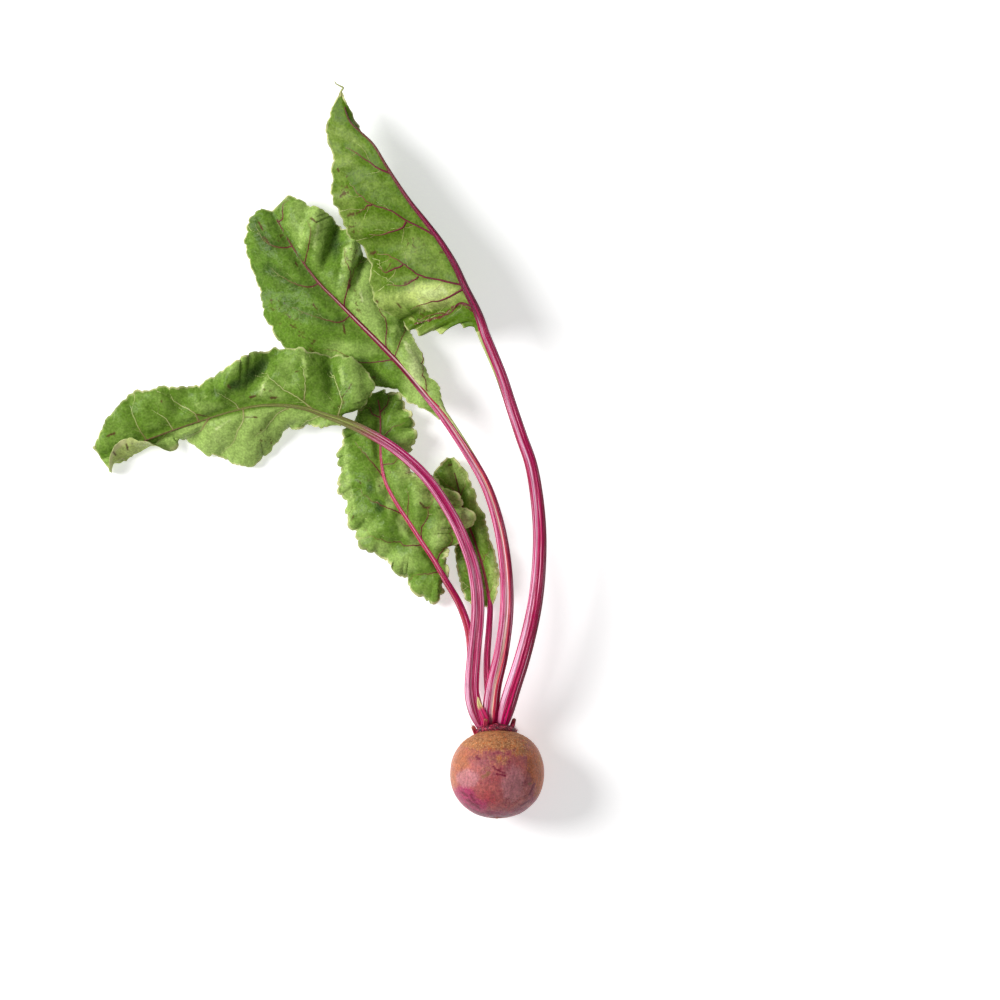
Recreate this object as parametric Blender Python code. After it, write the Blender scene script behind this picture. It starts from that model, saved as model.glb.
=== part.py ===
"""A beetroot lying flat with its stems and leaves, crown towards +Y.

The origin is under the middle of the root, on the table. Lengths are metres.
The stems and blades follow points laid out on a grid seen from above: across,
down, and a height over the table in millimetres.
"""
import math

import bmesh
import bpy
from mathutils import Vector

# Driving dimensions
root_width = 0.0499
root_length = 0.0468
root_centre_height = 0.02450
crown_width = 0.021
crown_drop_angle = math.radians(12)
tail_width = 0.0036
tail_length = 0.0010
tail_taper = 0.6
blade_thickness = 0.0010
joint_gap = 0.0018
grid_step = 0.00052
grid_origin = (497, 773)
millimetre = 0.001

# Fineness of the meshes
root_rings = 22
root_sides = 32
stem_sides = 10
stem_ring_spacing = 0.0075
blade_rows = 24
columns_a_half = 3

# Each leaf has a stem and a blade. A stem has its path and its widths at the
# crown, at its fullest and at the blade. A blade has its midrib and its two
# edges, point for point from the base to the tip. rib_side is 1 where the
# underside, with the raised midrib, is uppermost.
leaves = {
    "left": {
        "stem": [
            (480.7, 725, 19), (475.5, 710, 22), (472, 690, 24), (474, 655, 25),
            (478, 610, 25.5), (475, 575, 25.5), (466, 545, 25), (450, 512, 24),
            (425, 476, 23), (395, 449, 22), (365, 431, 20.5),
        ],
        "stem_widths": (0.0049, 0.0074, 0.0050),
        "midrib": [
            (340, 420, 19), (325, 415, 18.5), (304, 408, 18), (280, 405, 17.5),
            (255, 406, 16.5), (228, 412, 15), (202, 420, 13), (172, 430, 10.5),
            (142, 441, 7), (115, 452, 4), (98, 458, 2),
        ],
        "left_edge": [
            (341, 426, 18), (322, 424, 15), (304, 423, 10.5), (284, 429, 6),
            (262, 450, 2), (238, 463, 0.6), (207, 450, 1.5), (176, 441, 3),
            (145, 450, 1), (118, 462, 0.7), (103, 465, 0.8),
        ],
        "right_edge": [
            (343, 413, 18.5), (370, 394, 17.5), (362, 366, 15.5), (322, 354, 14.5),
            (268, 350, 15), (228, 369, 15.5), (196, 385, 14.5), (160, 387, 12),
            (126, 399, 9), (103, 428, 5), (95, 450, 2),
        ],
        "rib_side": -1,
    },
    "middle": {
        "stem": [
            (490.8, 723, 21.4), (491, 708, 25), (494, 685, 27.5), (501, 655, 29),
            (506, 620, 29.5), (507, 588, 29.5), (504, 552, 29), (497, 517, 28),
            (485, 483, 26.5), (466, 450, 24.5),
        ],
        "stem_widths": (0.0050, 0.0080, 0.0050),
        "midrib": [
            (443, 416, 22), (425, 394, 20.5), (404, 369, 18.8), (382, 346, 17.2),
            (360, 324, 16), (338, 302, 15), (320, 284, 14), (305, 265, 13),
            (292, 246, 11.5), (281, 227, 10), (271, 210, 8),
        ],
        "left_edge": [
            (439, 420, 21), (420, 401, 15), (396, 386, 8), (365, 374, 3.5),
            (328, 365, 1.5), (292, 349, 0.8), (271, 319, 0.6), (260, 287, 0.6),
            (251, 256, 0.6), (250, 229, 1.2), (258, 209, 5),
        ],
        "right_edge": [
            (447, 412, 21.5), (438, 392, 19.5), (427, 367, 17), (414, 340, 13),
            (402, 316, 9), (388, 293, 7), (371, 268, 6), (354, 244, 7),
            (336, 223, 9), (313, 210, 9.5), (287, 198, 7.5),
        ],
        "rib_side": -1,
    },
    "right": {
        "stem": [
            (502.8, 723.6, 20.9), (506.2, 710, 25.8), (512, 690, 30), (521, 662, 32.5),
            (529, 632, 34), (535, 602, 35.5), (538.5, 570, 36.5), (539.5, 535, 37),
            (537, 500, 37.5), (531, 465, 38), (521, 436, 38), (511, 406, 38),
            (501, 375, 38),
        ],
        "stem_widths": (0.0054, 0.0082, 0.0056),
        "midrib": [
            (486, 338, 38), (476, 310, 38), (466, 290, 37.5), (455, 266, 37),
            (441, 243, 36.3), (426, 223, 35.5), (411, 204, 34.5), (398, 185, 33.3),
            (386, 166, 32), (374, 146, 30), (361, 133, 28), (349, 122, 26.5),
            (343, 97, 24),
        ],
        "left_edge": [
            (482, 340, 37), (430, 335, 24), (405, 330, 18), (381, 311, 16),
            (370, 285, 15.5), (366, 256, 15.5), (350, 239, 16.5), (336, 212, 18),
            (327, 186, 19.5), (332, 158, 21), (327, 136, 22), (327, 118, 23),
            (339, 98, 24),
        ],
        "right_edge": [
            (489, 337, 36), (474, 312, 18), (464, 293, 5), (450, 269, 1),
            (435, 247, 0.5), (419, 228, 0.5), (404, 209, 0.8), (391, 190, 2),
            (380, 170, 5), (372, 148, 12), (366, 136, 20), (356, 121, 24),
            (346, 97, 24.3),
        ],
        "rib_side": 1,
    },
    "low": {
        "stem": [
            (484.5, 732.6, 10.4), (479, 712, 7.5), (474, 690, 5), (472, 665, 3.6),
            (470, 640, 3.4), (466, 622, 3.8), (458, 602, 5.5),
        ],
        "stem_widths": (0.0040, 0.0046, 0.0038),
        "midrib": [
            (445, 580, 9), (434, 561, 10), (421, 541, 10.8), (408, 521, 11.3),
            (395, 501, 11.5), (385, 481, 11), (381, 461, 10), (380, 442, 8.5),
            (380, 424, 7), (379, 407, 5.5), (375, 392, 4),
        ],
        "left_edge": [
            (441, 584, 8), (436, 600, 3), (412, 588, 1.2), (398, 566, 1.5),
            (368, 545, 1), (352, 519, 0.7), (343, 490, 0.6), (339, 462, 0.6),
            (346, 438, 1.2), (362, 414, 3), (368, 394, 3.5),
        ],
        "right_edge": [
            (449, 577, 9), (447, 556, 9), (456, 540, 9.5), (469, 522, 10),
            (460, 503, 10.5), (436, 486, 10.5), (416, 468, 10), (413, 445, 8.5),
            (411, 425, 6.5), (402, 405, 5), (384, 389, 4),
        ],
        "rib_side": -1,
    },
    "inner": {
        "stem": [
            (496.5, 731, 8.2), (492, 714, 5), (488, 690, 3.4), (487, 660, 3),
            (489, 630, 3),
        ],
        "stem_widths": (0.0036, 0.0042, 0.0036),
        "midrib": [
            (490, 606, 4), (487, 586, 4), (482, 564, 3.8), (475, 542, 3.6),
            (467, 520, 3.5), (461, 500, 3.5), (456, 479, 3.7), (450, 458, 4.2),
        ],
        "left_edge": [
            (487, 608, 4.5), (467, 600, 3.2), (459, 574, 2.2), (455, 547, 1.8),
            (445, 524, 1.5), (437, 499, 1.5), (435, 474, 2), (446, 457, 4),
        ],
        "right_edge": [
            (493, 605, 4.5), (500, 588, 6.5), (499, 566, 7), (491, 541, 6.5),
            (483, 515, 6), (474, 494, 5.5), (467, 473, 5.5), (454, 457, 4.5),
        ],
        "rib_side": -1,
    },
}

# Dried stubs of old leaf stems: where each one stands on the crown and where it ends
stubs = {
    "left": ((471.5, 731.8, 21.5), (473.0, 725.5, 22.5)),
    "right": ((512.2, 726.4, 21.0), (514.5, 718.5, 22.0)),
    "top": ((485.5, 724.4, 27.4), (485.8, 718.5, 29.5)),
}
stub_width = 0.0026

colours = {
    "root": (0.35, 0.13, 0.12, 1),
    "stub": (0.45, 0.10, 0.12, 1),
    "stem": (0.50, 0.03, 0.14, 1),
    "blade": (0.12, 0.25, 0.05, 1),
}


def place(point):
    """The world place of a grid point given as across, down and height."""
    across, down, height = point
    x = (across - grid_origin[0]) * grid_step
    y = (grid_origin[1] - down) * grid_step
    return Vector((x, y, height * millimetre))


def along(points, amount):
    """A point on the smooth curve through the points, amount from 0 to 1."""
    position = min(max(amount, 0.0), 1.0) * (len(points) - 1)
    start = min(int(position), len(points) - 2)
    part = position - start
    before = points[start - 1] if start else 2 * points[0] - points[1]
    last = start + 2 >= len(points)
    after = 2 * points[-1] - points[-2] if last else points[start + 2]
    here = points[start]
    there = points[start + 1]
    bend = 2 * before - 5 * here + 4 * there - after
    turn = 3 * (here - there) + after - before
    return here + 0.5 * part * ((there - before) + part * (bend + part * turn))


def add_material(name, colour):
    """A Principled material of one colour."""
    material = bpy.data.materials.new(name)
    material.use_nodes = True
    shader = material.node_tree.nodes["Principled BSDF"]
    shader.inputs["Base Color"].default_value = colour
    shader.inputs["Roughness"].default_value = 0.5
    shader.inputs["Metallic"].default_value = 0.0
    return material


def add_object(name, mesh_points, faces, colour):
    """A smooth closed object from points and faces, with its faces turned out."""
    mesh = bpy.data.meshes.new(name)
    mesh.from_pydata([tuple(point) for point in mesh_points], [], faces)
    edit = bmesh.new()
    edit.from_mesh(mesh)
    bmesh.ops.recalc_face_normals(edit, faces=edit.faces)
    if edit.calc_volume(signed=True) < 0:
        bmesh.ops.reverse_faces(edit, faces=edit.faces)
    edit.to_mesh(mesh)
    edit.free()
    mesh.shade_smooth()
    mesh.set_sharp_from_angle(angle=math.radians(45))
    mesh.materials.append(add_material(name, colour))
    made = bpy.data.objects.new(name, mesh)
    bpy.context.scene.collection.objects.link(made)
    return made


def tube(rings):
    """Points and faces of a closed tube through rings of points."""
    sides = len(rings[0])
    points = [point for ring in rings for point in ring]
    faces = [tuple(range(sides))]
    for row in range(len(rings) - 1):
        for side in range(sides):
            a = row * sides + side
            b = row * sides + (side + 1) % sides
            faces.append((a, b, b + sides, a + sides))
    last = (len(rings) - 1) * sides
    faces.append(tuple(range(last + sides - 1, last - 1, -1)))
    return points, faces


def root_radius(amount):
    """The root's radius at an amount of its length, 0 at the crown and 1 at the tail."""
    widest = 0.49
    half = widest if amount < widest else 1 - widest
    offset = abs(amount - widest) / half
    fullness = 2.15 if amount < widest else 2.05
    round_part = root_width / 2 * max(0.0, 1 - offset ** fullness) ** (1 / fullness)
    floor = crown_width / 2 if amount < widest else tail_width / 2
    return max(round_part, floor)


def build_root():
    """A turned round body with a flat crown, a tail nub and a flat to rest on."""
    axis = Vector((0, math.cos(crown_drop_angle), -math.sin(crown_drop_angle)))
    side = Vector((1, 0, 0))
    up = side.cross(axis)
    centre = Vector((0, 0, root_centre_height))
    rings = []
    for row in range(root_rings + 1):
        amount = (1 - math.cos(math.pi * row / root_rings)) / 2
        radius = root_radius(amount)
        middle = centre + axis * root_length * (0.49 - amount)
        rings.append([
            middle + (side * math.cos(turn) + up * math.sin(turn)) * radius
            for turn in (2 * math.pi * i / root_sides for i in range(root_sides))
        ])
    nub = centre - axis * (root_length * 0.51 + tail_length)
    rings.append([nub + (point - axis * tail_length - nub) * tail_taper for point in rings[-1]])
    points, faces = tube(rings)
    root = add_object("root", points, faces, colours["root"])
    bpy.ops.mesh.primitive_cube_add(size=1, location=(0, 0, -0.01))
    cutter = bpy.context.object
    cutter.name = "table_cut"
    cutter.scale = (0.06, 0.06, 0.02)
    cutter.hide_render = True
    cutter.display_type = "WIRE"
    cut = root.modifiers.new("rest_flat", "BOOLEAN")
    cut.object = cutter
    cut.solver = "EXACT"


def stem_width(widths, amount):
    """The stem's width: it swells just above the crown, then narrows evenly."""
    crown, fullest, blade = widths
    swell_end = 0.15
    if amount < swell_end:
        ease = math.sin(math.pi / 2 * amount / swell_end)
        return crown + (fullest - crown) * ease
    return fullest + (blade - fullest) * (amount - swell_end) / (1 - swell_end)


def build_stem(name, leaf):
    """A flattened tube from the crown to just short of the blade."""
    path = [place(point) for point in leaf["stem"] + leaf["midrib"][:1]]
    end = path[-1] + (path[-2] - path[-1]).normalized() * joint_gap
    path[-1] = end
    length = sum((b - a).length for a, b in zip(path, path[1:]))
    count = round(length / stem_ring_spacing)
    rings = []
    for row in range(count + 1):
        amount = row / count
        here = along(path, amount)
        ahead = (along(path, amount + 0.01) - along(path, amount - 0.01)).normalized()
        side = ahead.cross(Vector((0, 0, 1))).normalized()
        up = side.cross(ahead)
        width = stem_width(leaf["stem_widths"], amount)
        depth = width * 0.82
        rings.append([
            here + side * math.cos(turn) * width / 2 + up * math.sin(turn) * depth / 2
            for turn in (2 * math.pi * i / stem_sides for i in range(stem_sides))
        ])
    points, faces = tube(rings)
    add_object(f"stem_{name}", points, faces, colours["stem"])


def blade_surface(leaf):
    """Rows of points on the middle surface of a blade, left edge to right edge."""
    left = [place(point) for point in leaf["left_edge"]]
    middle = [place(point) for point in leaf["midrib"]]
    right = [place(point) for point in leaf["right_edge"]]
    rows = []
    for row in range(blade_rows + 1):
        amount = row / blade_rows
        centre = along(middle, amount)
        ends = (along(left, amount), along(right, amount))
        line = []
        for column in range(-columns_a_half, columns_a_half + 1):
            reach = abs(column) / columns_a_half
            end = ends[0] if column < 0 else ends[1]
            swell = Vector((0, 0, 0.06 * (end - centre).length * math.sin(math.pi * reach)))
            line.append(centre.lerp(end, reach) + swell)
        rows.append(line)
    return rows


def build_blade(name, leaf):
    """A thin closed sheet, thicker along its midrib, that stays above the table."""
    rows = blade_surface(leaf)
    columns = 2 * columns_a_half + 1
    faces_up = []
    faces_down = []
    for row, line in enumerate(rows):
        for column, here in enumerate(line):
            behind = rows[max(row - 1, 0)][column]
            ahead = rows[min(row + 1, blade_rows)][column]
            left = line[max(column - 1, 0)]
            right = line[min(column + 1, columns - 1)]
            normal = (right - left).cross(ahead - behind).normalized()
            rib = leaf["stem_widths"][2] * 0.4 * (1 - row / blade_rows) ** 1.5
            extra = rib if column == columns_a_half else 0.0
            over = blade_thickness / 2 + (extra if leaf["rib_side"] > 0 else 0.0)
            under = blade_thickness / 2 + (extra if leaf["rib_side"] < 0 else 0.0)
            faces_up.append(here + normal * over)
            faces_down.append(here - normal * under)
    points = faces_up + faces_down
    for point in points:
        point.z = max(point.z, 0.0)
    offset = len(faces_up)
    faces = []
    for row in range(blade_rows):
        for column in range(columns - 1):
            a = row * columns + column
            quad = (a, a + 1, a + 1 + columns, a + columns)
            faces.append(quad)
            faces.append(tuple(index + offset for index in reversed(quad)))
    rim = list(range(columns))
    rim += [row * columns + columns - 1 for row in range(1, blade_rows + 1)]
    rim += [blade_rows * columns + column for column in range(columns - 2, -1, -1)]
    rim += [row * columns for row in range(blade_rows - 1, 0, -1)]
    for a, b in zip(rim, rim[1:] + rim[:1]):
        faces.append((b, a, a + offset, b + offset))
    add_object(f"blade_{name}", points, faces, colours["blade"])


def build_stub(name, ends):
    """A short tapered peg left by an old leaf stem."""
    start, tip = (place(point) for point in ends)
    ahead = (tip - start).normalized()
    side = ahead.orthogonal().normalized()
    up = ahead.cross(side)
    rings = []
    for amount, scale in ((0, 1.0), (0.5, 0.85), (0.9, 0.55), (1, 0.25)):
        radius = stub_width / 2 * scale
        rings.append([
            start.lerp(tip, amount) + (side * math.cos(turn) + up * math.sin(turn)) * radius
            for turn in (2 * math.pi * i / 8 for i in range(8))
        ])
    points, faces = tube(rings)
    add_object(f"stub_{name}", points, faces, colours["stub"])


def main():
    for old in list(bpy.data.objects):
        bpy.data.objects.remove(old)
    build_root()
    for name, ends in stubs.items():
        build_stub(name, ends)
    for name, leaf in leaves.items():
        build_stem(name, leaf)
        build_blade(name, leaf)


main()
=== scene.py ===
import itertools
import math
import bpy
import numpy as np
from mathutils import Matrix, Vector


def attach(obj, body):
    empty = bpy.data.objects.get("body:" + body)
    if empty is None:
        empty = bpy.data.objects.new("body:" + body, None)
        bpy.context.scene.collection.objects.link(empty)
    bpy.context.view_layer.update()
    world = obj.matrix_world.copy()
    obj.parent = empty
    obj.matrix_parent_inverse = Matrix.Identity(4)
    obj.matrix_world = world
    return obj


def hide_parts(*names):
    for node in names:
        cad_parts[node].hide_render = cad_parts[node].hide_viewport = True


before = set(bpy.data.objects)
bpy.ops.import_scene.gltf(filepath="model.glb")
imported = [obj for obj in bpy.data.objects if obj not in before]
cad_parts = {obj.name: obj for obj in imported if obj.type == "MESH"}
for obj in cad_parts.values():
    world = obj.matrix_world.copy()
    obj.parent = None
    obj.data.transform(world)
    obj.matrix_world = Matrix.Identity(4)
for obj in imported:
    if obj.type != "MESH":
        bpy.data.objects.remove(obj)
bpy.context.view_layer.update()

scene = bpy.context.scene

# The grid that the leaves are laid out on, seen from above: across, down and a height in mm
gridStep = 0.00052  # metres
gridOrigin = (497, 773)  # straight above the flat under the root
rootCentre = np.array([0, 0, 0.0245])
tableGap = 0.0003  # nothing but the root's flat comes nearer to the table


# Shared helpers for shapes

def fromGrid(points):
    points = np.atleast_2d(np.asarray(points, float))
    places = np.empty_like(points)
    places[:, 0] = (points[:, 0] - gridOrigin[0]) * gridStep
    places[:, 1] = (gridOrigin[1] - points[:, 1]) * gridStep
    places[:, 2] = points[:, 2] * 0.001
    return places


def splineAt(points, amounts):
    # a smooth curve through every point, with amounts from 0 to 1
    points = np.asarray(points, float)
    padded = np.vstack([2 * points[0] - points[1], points, 2 * points[-1] - points[-2]])
    position = np.clip(amounts, 0, 1) * (len(points) - 1)
    start = np.minimum(position.astype(int), len(points) - 2)
    part = (position - start)[:, None]
    before, here, there, after = (padded[start + shift] for shift in range(4))
    bend = 2 * before - 5 * here + 4 * there - after
    turn = 3 * (here - there) + after - before
    return here + 0.5 * part * ((there - before) + part * (bend + part * turn))


def softNoise(places, lump, seed):
    # smooth values from -1 to 1, with lumps of the given size
    places = np.asarray(places, float)
    if places.ndim == 1:
        places = places[:, None]
    spots = places / lump + 3.7 * seed + 11.3
    cell = np.floor(spots)
    part = spots - cell
    ease = part * part * (3 - 2 * part)
    weights = np.array([127.1, 311.7, 74.7])[:spots.shape[1]]
    total = np.zeros(len(spots))
    for corner in itertools.product((0, 1), repeat=spots.shape[1]):
        corner = np.array(corner)
        value = np.sin((cell + corner) @ weights + seed) * 43758.5453
        share = np.prod(np.where(corner, ease, 1 - ease), axis=1)
        total += share * (value - np.floor(value))
    return 2 * total - 1


def smoothStep(low, high, values):
    part = np.clip((values - low) / (high - low), 0, 1)
    return part * part * (3 - 2 * part)


def gridNormals(places):
    # unit normals of a rows by columns grid of places
    down = np.gradient(places, axis=0)
    over = np.gradient(places, axis=1)
    normals = np.cross(over, down)
    return normals / np.maximum(np.linalg.norm(normals, axis=2, keepdims=True), 1e-12)


def addObject(name, places, faces, material, fields=(), edges=()):
    mesh = bpy.data.meshes.new(name)
    mesh.from_pydata(places.tolist(), edges, faces)
    for field, values in dict(fields).items():
        attribute = mesh.attributes.new(field, "FLOAT", "POINT")
        attribute.data.foreach_set("value", np.asarray(values, np.float32).ravel())
    mesh.shade_smooth()
    mesh.materials.append(material)
    made = bpy.data.objects.new(name, mesh)
    scene.collection.objects.link(made)
    return made


# Shared helpers for node trees

def feed(tree, socket, value):
    if isinstance(value, bpy.types.NodeSocket):
        tree.links.new(value, socket)
    elif value is not None:
        socket.default_value = value


def addNode(tree, kind, feeds, **settings):
    # a node with its settings, and what goes into its inputs by name or number
    node = tree.nodes.new(kind)
    for name, value in settings.items():
        setattr(node, name, value)
    for label, value in feeds.items():
        feed(tree, node.inputs[label], value)
    return node


def calc(tree, operation, *values):
    return addNode(tree, "ShaderNodeMath", dict(enumerate(values)), operation=operation).outputs[0]


def times(tree, first, second):
    return calc(tree, "MULTIPLY", first, second)


def joined(tree, *values):
    # three values as one vector
    return addNode(tree, "ShaderNodeCombineXYZ", dict(enumerate(values))).outputs[0]


def vectorMath(tree, operation, feeds):
    return addNode(tree, "ShaderNodeVectorMath", feeds, operation=operation).outputs[0]


def mapRange(tree, value, low, high, toLow=0.0, toHigh=1.0):
    feeds = dict(enumerate((value, low, high, toLow, toHigh)))
    return addNode(tree, "ShaderNodeMapRange", feeds, interpolation_type="SMOOTHSTEP").outputs[0]


def mixColour(tree, amount, first, second, mode="MIX"):
    feeds = {"Factor": amount, 6: first, 7: second}
    return addNode(tree, "ShaderNodeMix", feeds, data_type="RGBA", blend_type=mode).outputs[2]


def layered(tree, colour, *layers):
    # further colours laid over the first, each with its amount
    for amount, over in layers:
        colour = mixColour(tree, amount, colour, over)
    return colour


def tinted(tree, colour, tint):
    return mixColour(tree, 1.0, colour, tint, "MULTIPLY")


def attribute(tree, name, output="Fac"):
    node = tree.nodes.new("ShaderNodeAttribute")
    node.attribute_name = name
    return node.outputs[output]


def noise(tree, vector, scale, detail=3.0, rough=0.55, warp=0.0):
    feeds = {"Vector": vector, "Scale": scale, "Detail": detail, "Roughness": rough, "Distortion": warp}
    return addNode(tree, "ShaderNodeTexNoise", feeds).outputs["Fac"]


def cellEdges(tree, vector, scale):
    feeds = {"Vector": vector, "Scale": scale}
    return addNode(tree, "ShaderNodeTexVoronoi", feeds, feature="DISTANCE_TO_EDGE").outputs["Distance"]


def objectPlace(tree):
    return tree.nodes.new("ShaderNodeTexCoord").outputs["Object"]


def newMaterial(name, roughness, specular=0.5):
    material = bpy.data.materials.new(name)
    material.use_nodes = True
    shader = material.node_tree.nodes["Principled BSDF"]
    shader.inputs["Roughness"].default_value = roughness
    shader.inputs["Specular IOR Level"].default_value = specular
    return material, material.node_tree, shader


def newTree(kind, name, inputs, outputs):
    # a new tree with its named inputs and outputs
    tree = bpy.data.node_groups.new(name, kind)
    for way, sockets in (("INPUT", inputs), ("OUTPUT", outputs)):
        for label, holds, value in sockets:
            socket = tree.interface.new_socket(label, in_out=way, socket_type="NodeSocket" + holds)
            if value is not None:
                socket.default_value = value
    return tree, tree.nodes.new("NodeGroupInput").outputs, tree.nodes.new("NodeGroupOutput").inputs


def useGroup(tree, group, **values):
    return addNode(tree, "ShaderNodeGroup", values, node_tree=group).outputs


def finishSurface(tree, shader, colour, roughness, height, distance):
    # the colour, roughness and bump of a surface
    bump = addNode(tree, "ShaderNodeBump", {"Distance": distance, "Strength": 1.0, "Height": height})
    surface = {"Base Color": colour, "Roughness": roughness, "Normal": bump.outputs["Normal"]}
    for label, value in surface.items():
        feed(tree, shader.inputs[label], value)


def finishPieces(tree, geometry, surface, result):
    # real geometry with its material, as what the tree puts out
    real = addNode(tree, "GeometryNodeRealizeInstances", {"Geometry": geometry}).outputs["Geometry"]
    coated = addNode(tree, "GeometryNodeSetMaterial", {"Geometry": real, "Material": surface})
    feed(tree, result, coated.outputs["Geometry"])


# Mottling: broad, middle and fine patches of tone in one mask
def mottleGroup():
    tree, given, result = newTree(
        "ShaderNodeTree", "mottle", [("Place", "Vector", None), ("Contrast", "Float", 1.0)],
        [("Broad", "Float", None), ("Fine", "Float", None)])
    broad = noise(tree, given["Place"], 38, 3, 0.6, 0.4)
    middle = noise(tree, given["Place"], 190, 3, 0.6)
    fine = noise(tree, given["Place"], 900, 2, 0.6)
    blend = calc(tree, "ADD", times(tree, broad, 0.6), times(tree, middle, 0.4))
    centred = calc(tree, "SUBTRACT", blend, 0.5)
    feed(tree, result["Broad"], calc(tree, "MULTIPLY_ADD", centred, given["Contrast"], 0.5))
    feed(tree, result["Fine"], calc(tree, "ADD", times(tree, fine, 0.65), times(tree, middle, 0.35)))
    return tree


# Small blemishes: a few scattered round spots
def blemishGroup():
    tree, given, result = newTree(
        "ShaderNodeTree", "blemish", [("Place", "Vector", None), ("Spread", "Float", 0.6)],
        [("Mask", "Float", None)])
    where = noise(tree, given["Place"], 60, 2, 0.5)
    shape = noise(tree, given["Place"], 420, 2, 0.6)
    patch = mapRange(tree, where, given["Spread"], calc(tree, "ADD", given["Spread"], 0.06))
    feed(tree, result["Mask"], times(tree, patch, mapRange(tree, shape, 0.56, 0.64)))
    return tree


mottle = mottleGroup()
blemish = blemishGroup()


# Tubes: one tree sweeps a ring along every path, for stems, midribs, veins, stubs and dry strands

def tubeTree():
    tree, given, result = newTree(
        "GeometryNodeTree", "ribbedTube",
        [("Paths", "Geometry", None), ("Ribs", "Int", 9), ("Rib Depth", "Float", 0.12),
         ("Channel Depth", "Float", 0.0), ("Flatness", "Float", 1.0), ("Sides", "Int", 64),
         ("Seed", "Float", 0.0), ("Surface", "Material", None)],
        [("Tubes", "Geometry", None)])
    tree.is_modifier = True

    def store(geometry, name, kind, value):
        feeds = {"Name": name, "Geometry": geometry, "Value": value}
        return addNode(tree, "GeometryNodeStoreNamedAttribute", feeds, data_type=kind).outputs["Geometry"]

    def named(name, kind="FLOAT"):
        feeds = {"Name": name}
        return addNode(tree, "GeometryNodeInputNamedAttribute", feeds, data_type=kind).outputs["Attribute"]

    ring = addNode(tree, "GeometryNodeCurvePrimitiveCircle", {"Resolution": given["Sides"], "Radius": 1.0})
    # the ring's own y points down once it is on a path, so it is stored turned over
    ringPoint = tree.nodes.new("GeometryNodeInputPosition").outputs[0]
    spot = vectorMath(tree, "MULTIPLY", {0: ringPoint, 1: (1, -1, 1)})
    profile = store(ring.outputs["Curve"], "ringPlace", "FLOAT_VECTOR", spot)
    squeeze = addNode(tree, "GeometryNodeTransform", {
        "Geometry": profile, "Scale": joined(tree, 1.0, given["Flatness"], 1.0)})
    curves = addNode(tree, "GeometryNodeMeshToCurve", {"Mesh": given["Paths"]})
    upright = addNode(tree, "GeometryNodeSetCurveNormal", {"Curve": curves.outputs["Curve"]}, mode="Z_UP")
    sweep = addNode(tree, "GeometryNodeCurveToMesh", {
        "Curve": upright.outputs["Curve"], "Scale": named("thick"),
        "Profile Curve": squeeze.outputs["Geometry"], "Fill Caps": True})
    where = addNode(tree, "ShaderNodeSeparateXYZ", {0: named("ringPlace", "FLOAT_VECTOR")}).outputs
    angle = calc(tree, "ARCTAN2", where[1], where[0])
    # the ribs wander and fade a little along the stem
    slow = calc(tree, "MULTIPLY_ADD", named("along"), 5.0, given["Seed"])
    wobble = noise(tree, joined(tree, slow, where[0], where[1]), 1.0, 2, 0.5)
    turn = calc(tree, "MULTIPLY_ADD", calc(tree, "SUBTRACT", wobble, 0.5), 0.7, angle)
    halfRibs = times(tree, given["Ribs"], 0.5)
    wave = calc(tree, "ABSOLUTE", calc(tree, "SINE", times(tree, turn, halfRibs)))
    rounded = calc(tree, "SUBTRACT", calc(tree, "POWER", wave, 0.7), 0.65)
    ribs = times(tree, rounded, given["Rib Depth"])
    upward = calc(tree, "POWER", calc(tree, "MAXIMUM", where[1], 0.0), 7.0)
    sunk = times(tree, times(tree, upward, given["Channel Depth"]), -1.0)
    push = times(tree, calc(tree, "ADD", ribs, sunk), named("thick"))
    outward = tree.nodes.new("GeometryNodeInputNormal").outputs[0]
    offset = vectorMath(tree, "SCALE", {0: outward, "Scale": push})
    ribbed = store(sweep.outputs["Mesh"], "rib", "FLOAT", wave)
    move = addNode(tree, "GeometryNodeSetPosition", {"Geometry": ribbed, "Offset": offset})
    smooth = addNode(tree, "GeometryNodeSetShadeSmooth", {"Geometry": move.outputs["Geometry"]})
    finishPieces(tree, smooth.outputs["Geometry"], given["Surface"], result["Tubes"])
    return tree


def setInputs(modifier, values):
    for item in modifier.node_group.interface.items_tree:
        if item.item_type == "SOCKET" and item.in_out == "INPUT" and item.name in values:
            modifier[item.identifier] = values[item.name]


def plainCopy(guide, name):
    # the evaluated result as a plain mesh object, and the guide removed
    view = bpy.context.evaluated_depsgraph_get()
    mesh = bpy.data.meshes.new_from_object(guide.evaluated_get(view))
    made = bpy.data.objects.new(name, mesh)
    scene.collection.objects.link(made)
    bpy.data.objects.remove(guide)
    return made


def makeTubes(name, paths, surface, slot, replaced=None, **inputs):
    # paths: (places, radii, tone) for each tube, with along running from 0 to 1
    places = np.vstack([path[0] for path in paths])
    fields = {
        "thick": np.concatenate([path[1] for path in paths]),
        "along": np.concatenate([np.linspace(0, 1, len(path[0])) for path in paths]),
        "tone": np.concatenate([path[2] for path in paths]),
    }
    edges = []
    first = 0
    for path in paths:
        edges += [(first + step, first + step + 1) for step in range(len(path[0]) - 1)]
        first += len(path[0])
    guide = addObject(f"path_{name}", places, [], surface, fields, edges)
    modifier = guide.modifiers.new("ribbedTube", "NODES")
    modifier.node_group = ribbedTube
    setInputs(modifier, {"Surface": surface, **inputs})
    made = plainCopy(guide, name)
    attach(made, "root")
    if replaced:
        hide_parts(replaced)
    return made


ribbedTube = tubeTree()


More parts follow.
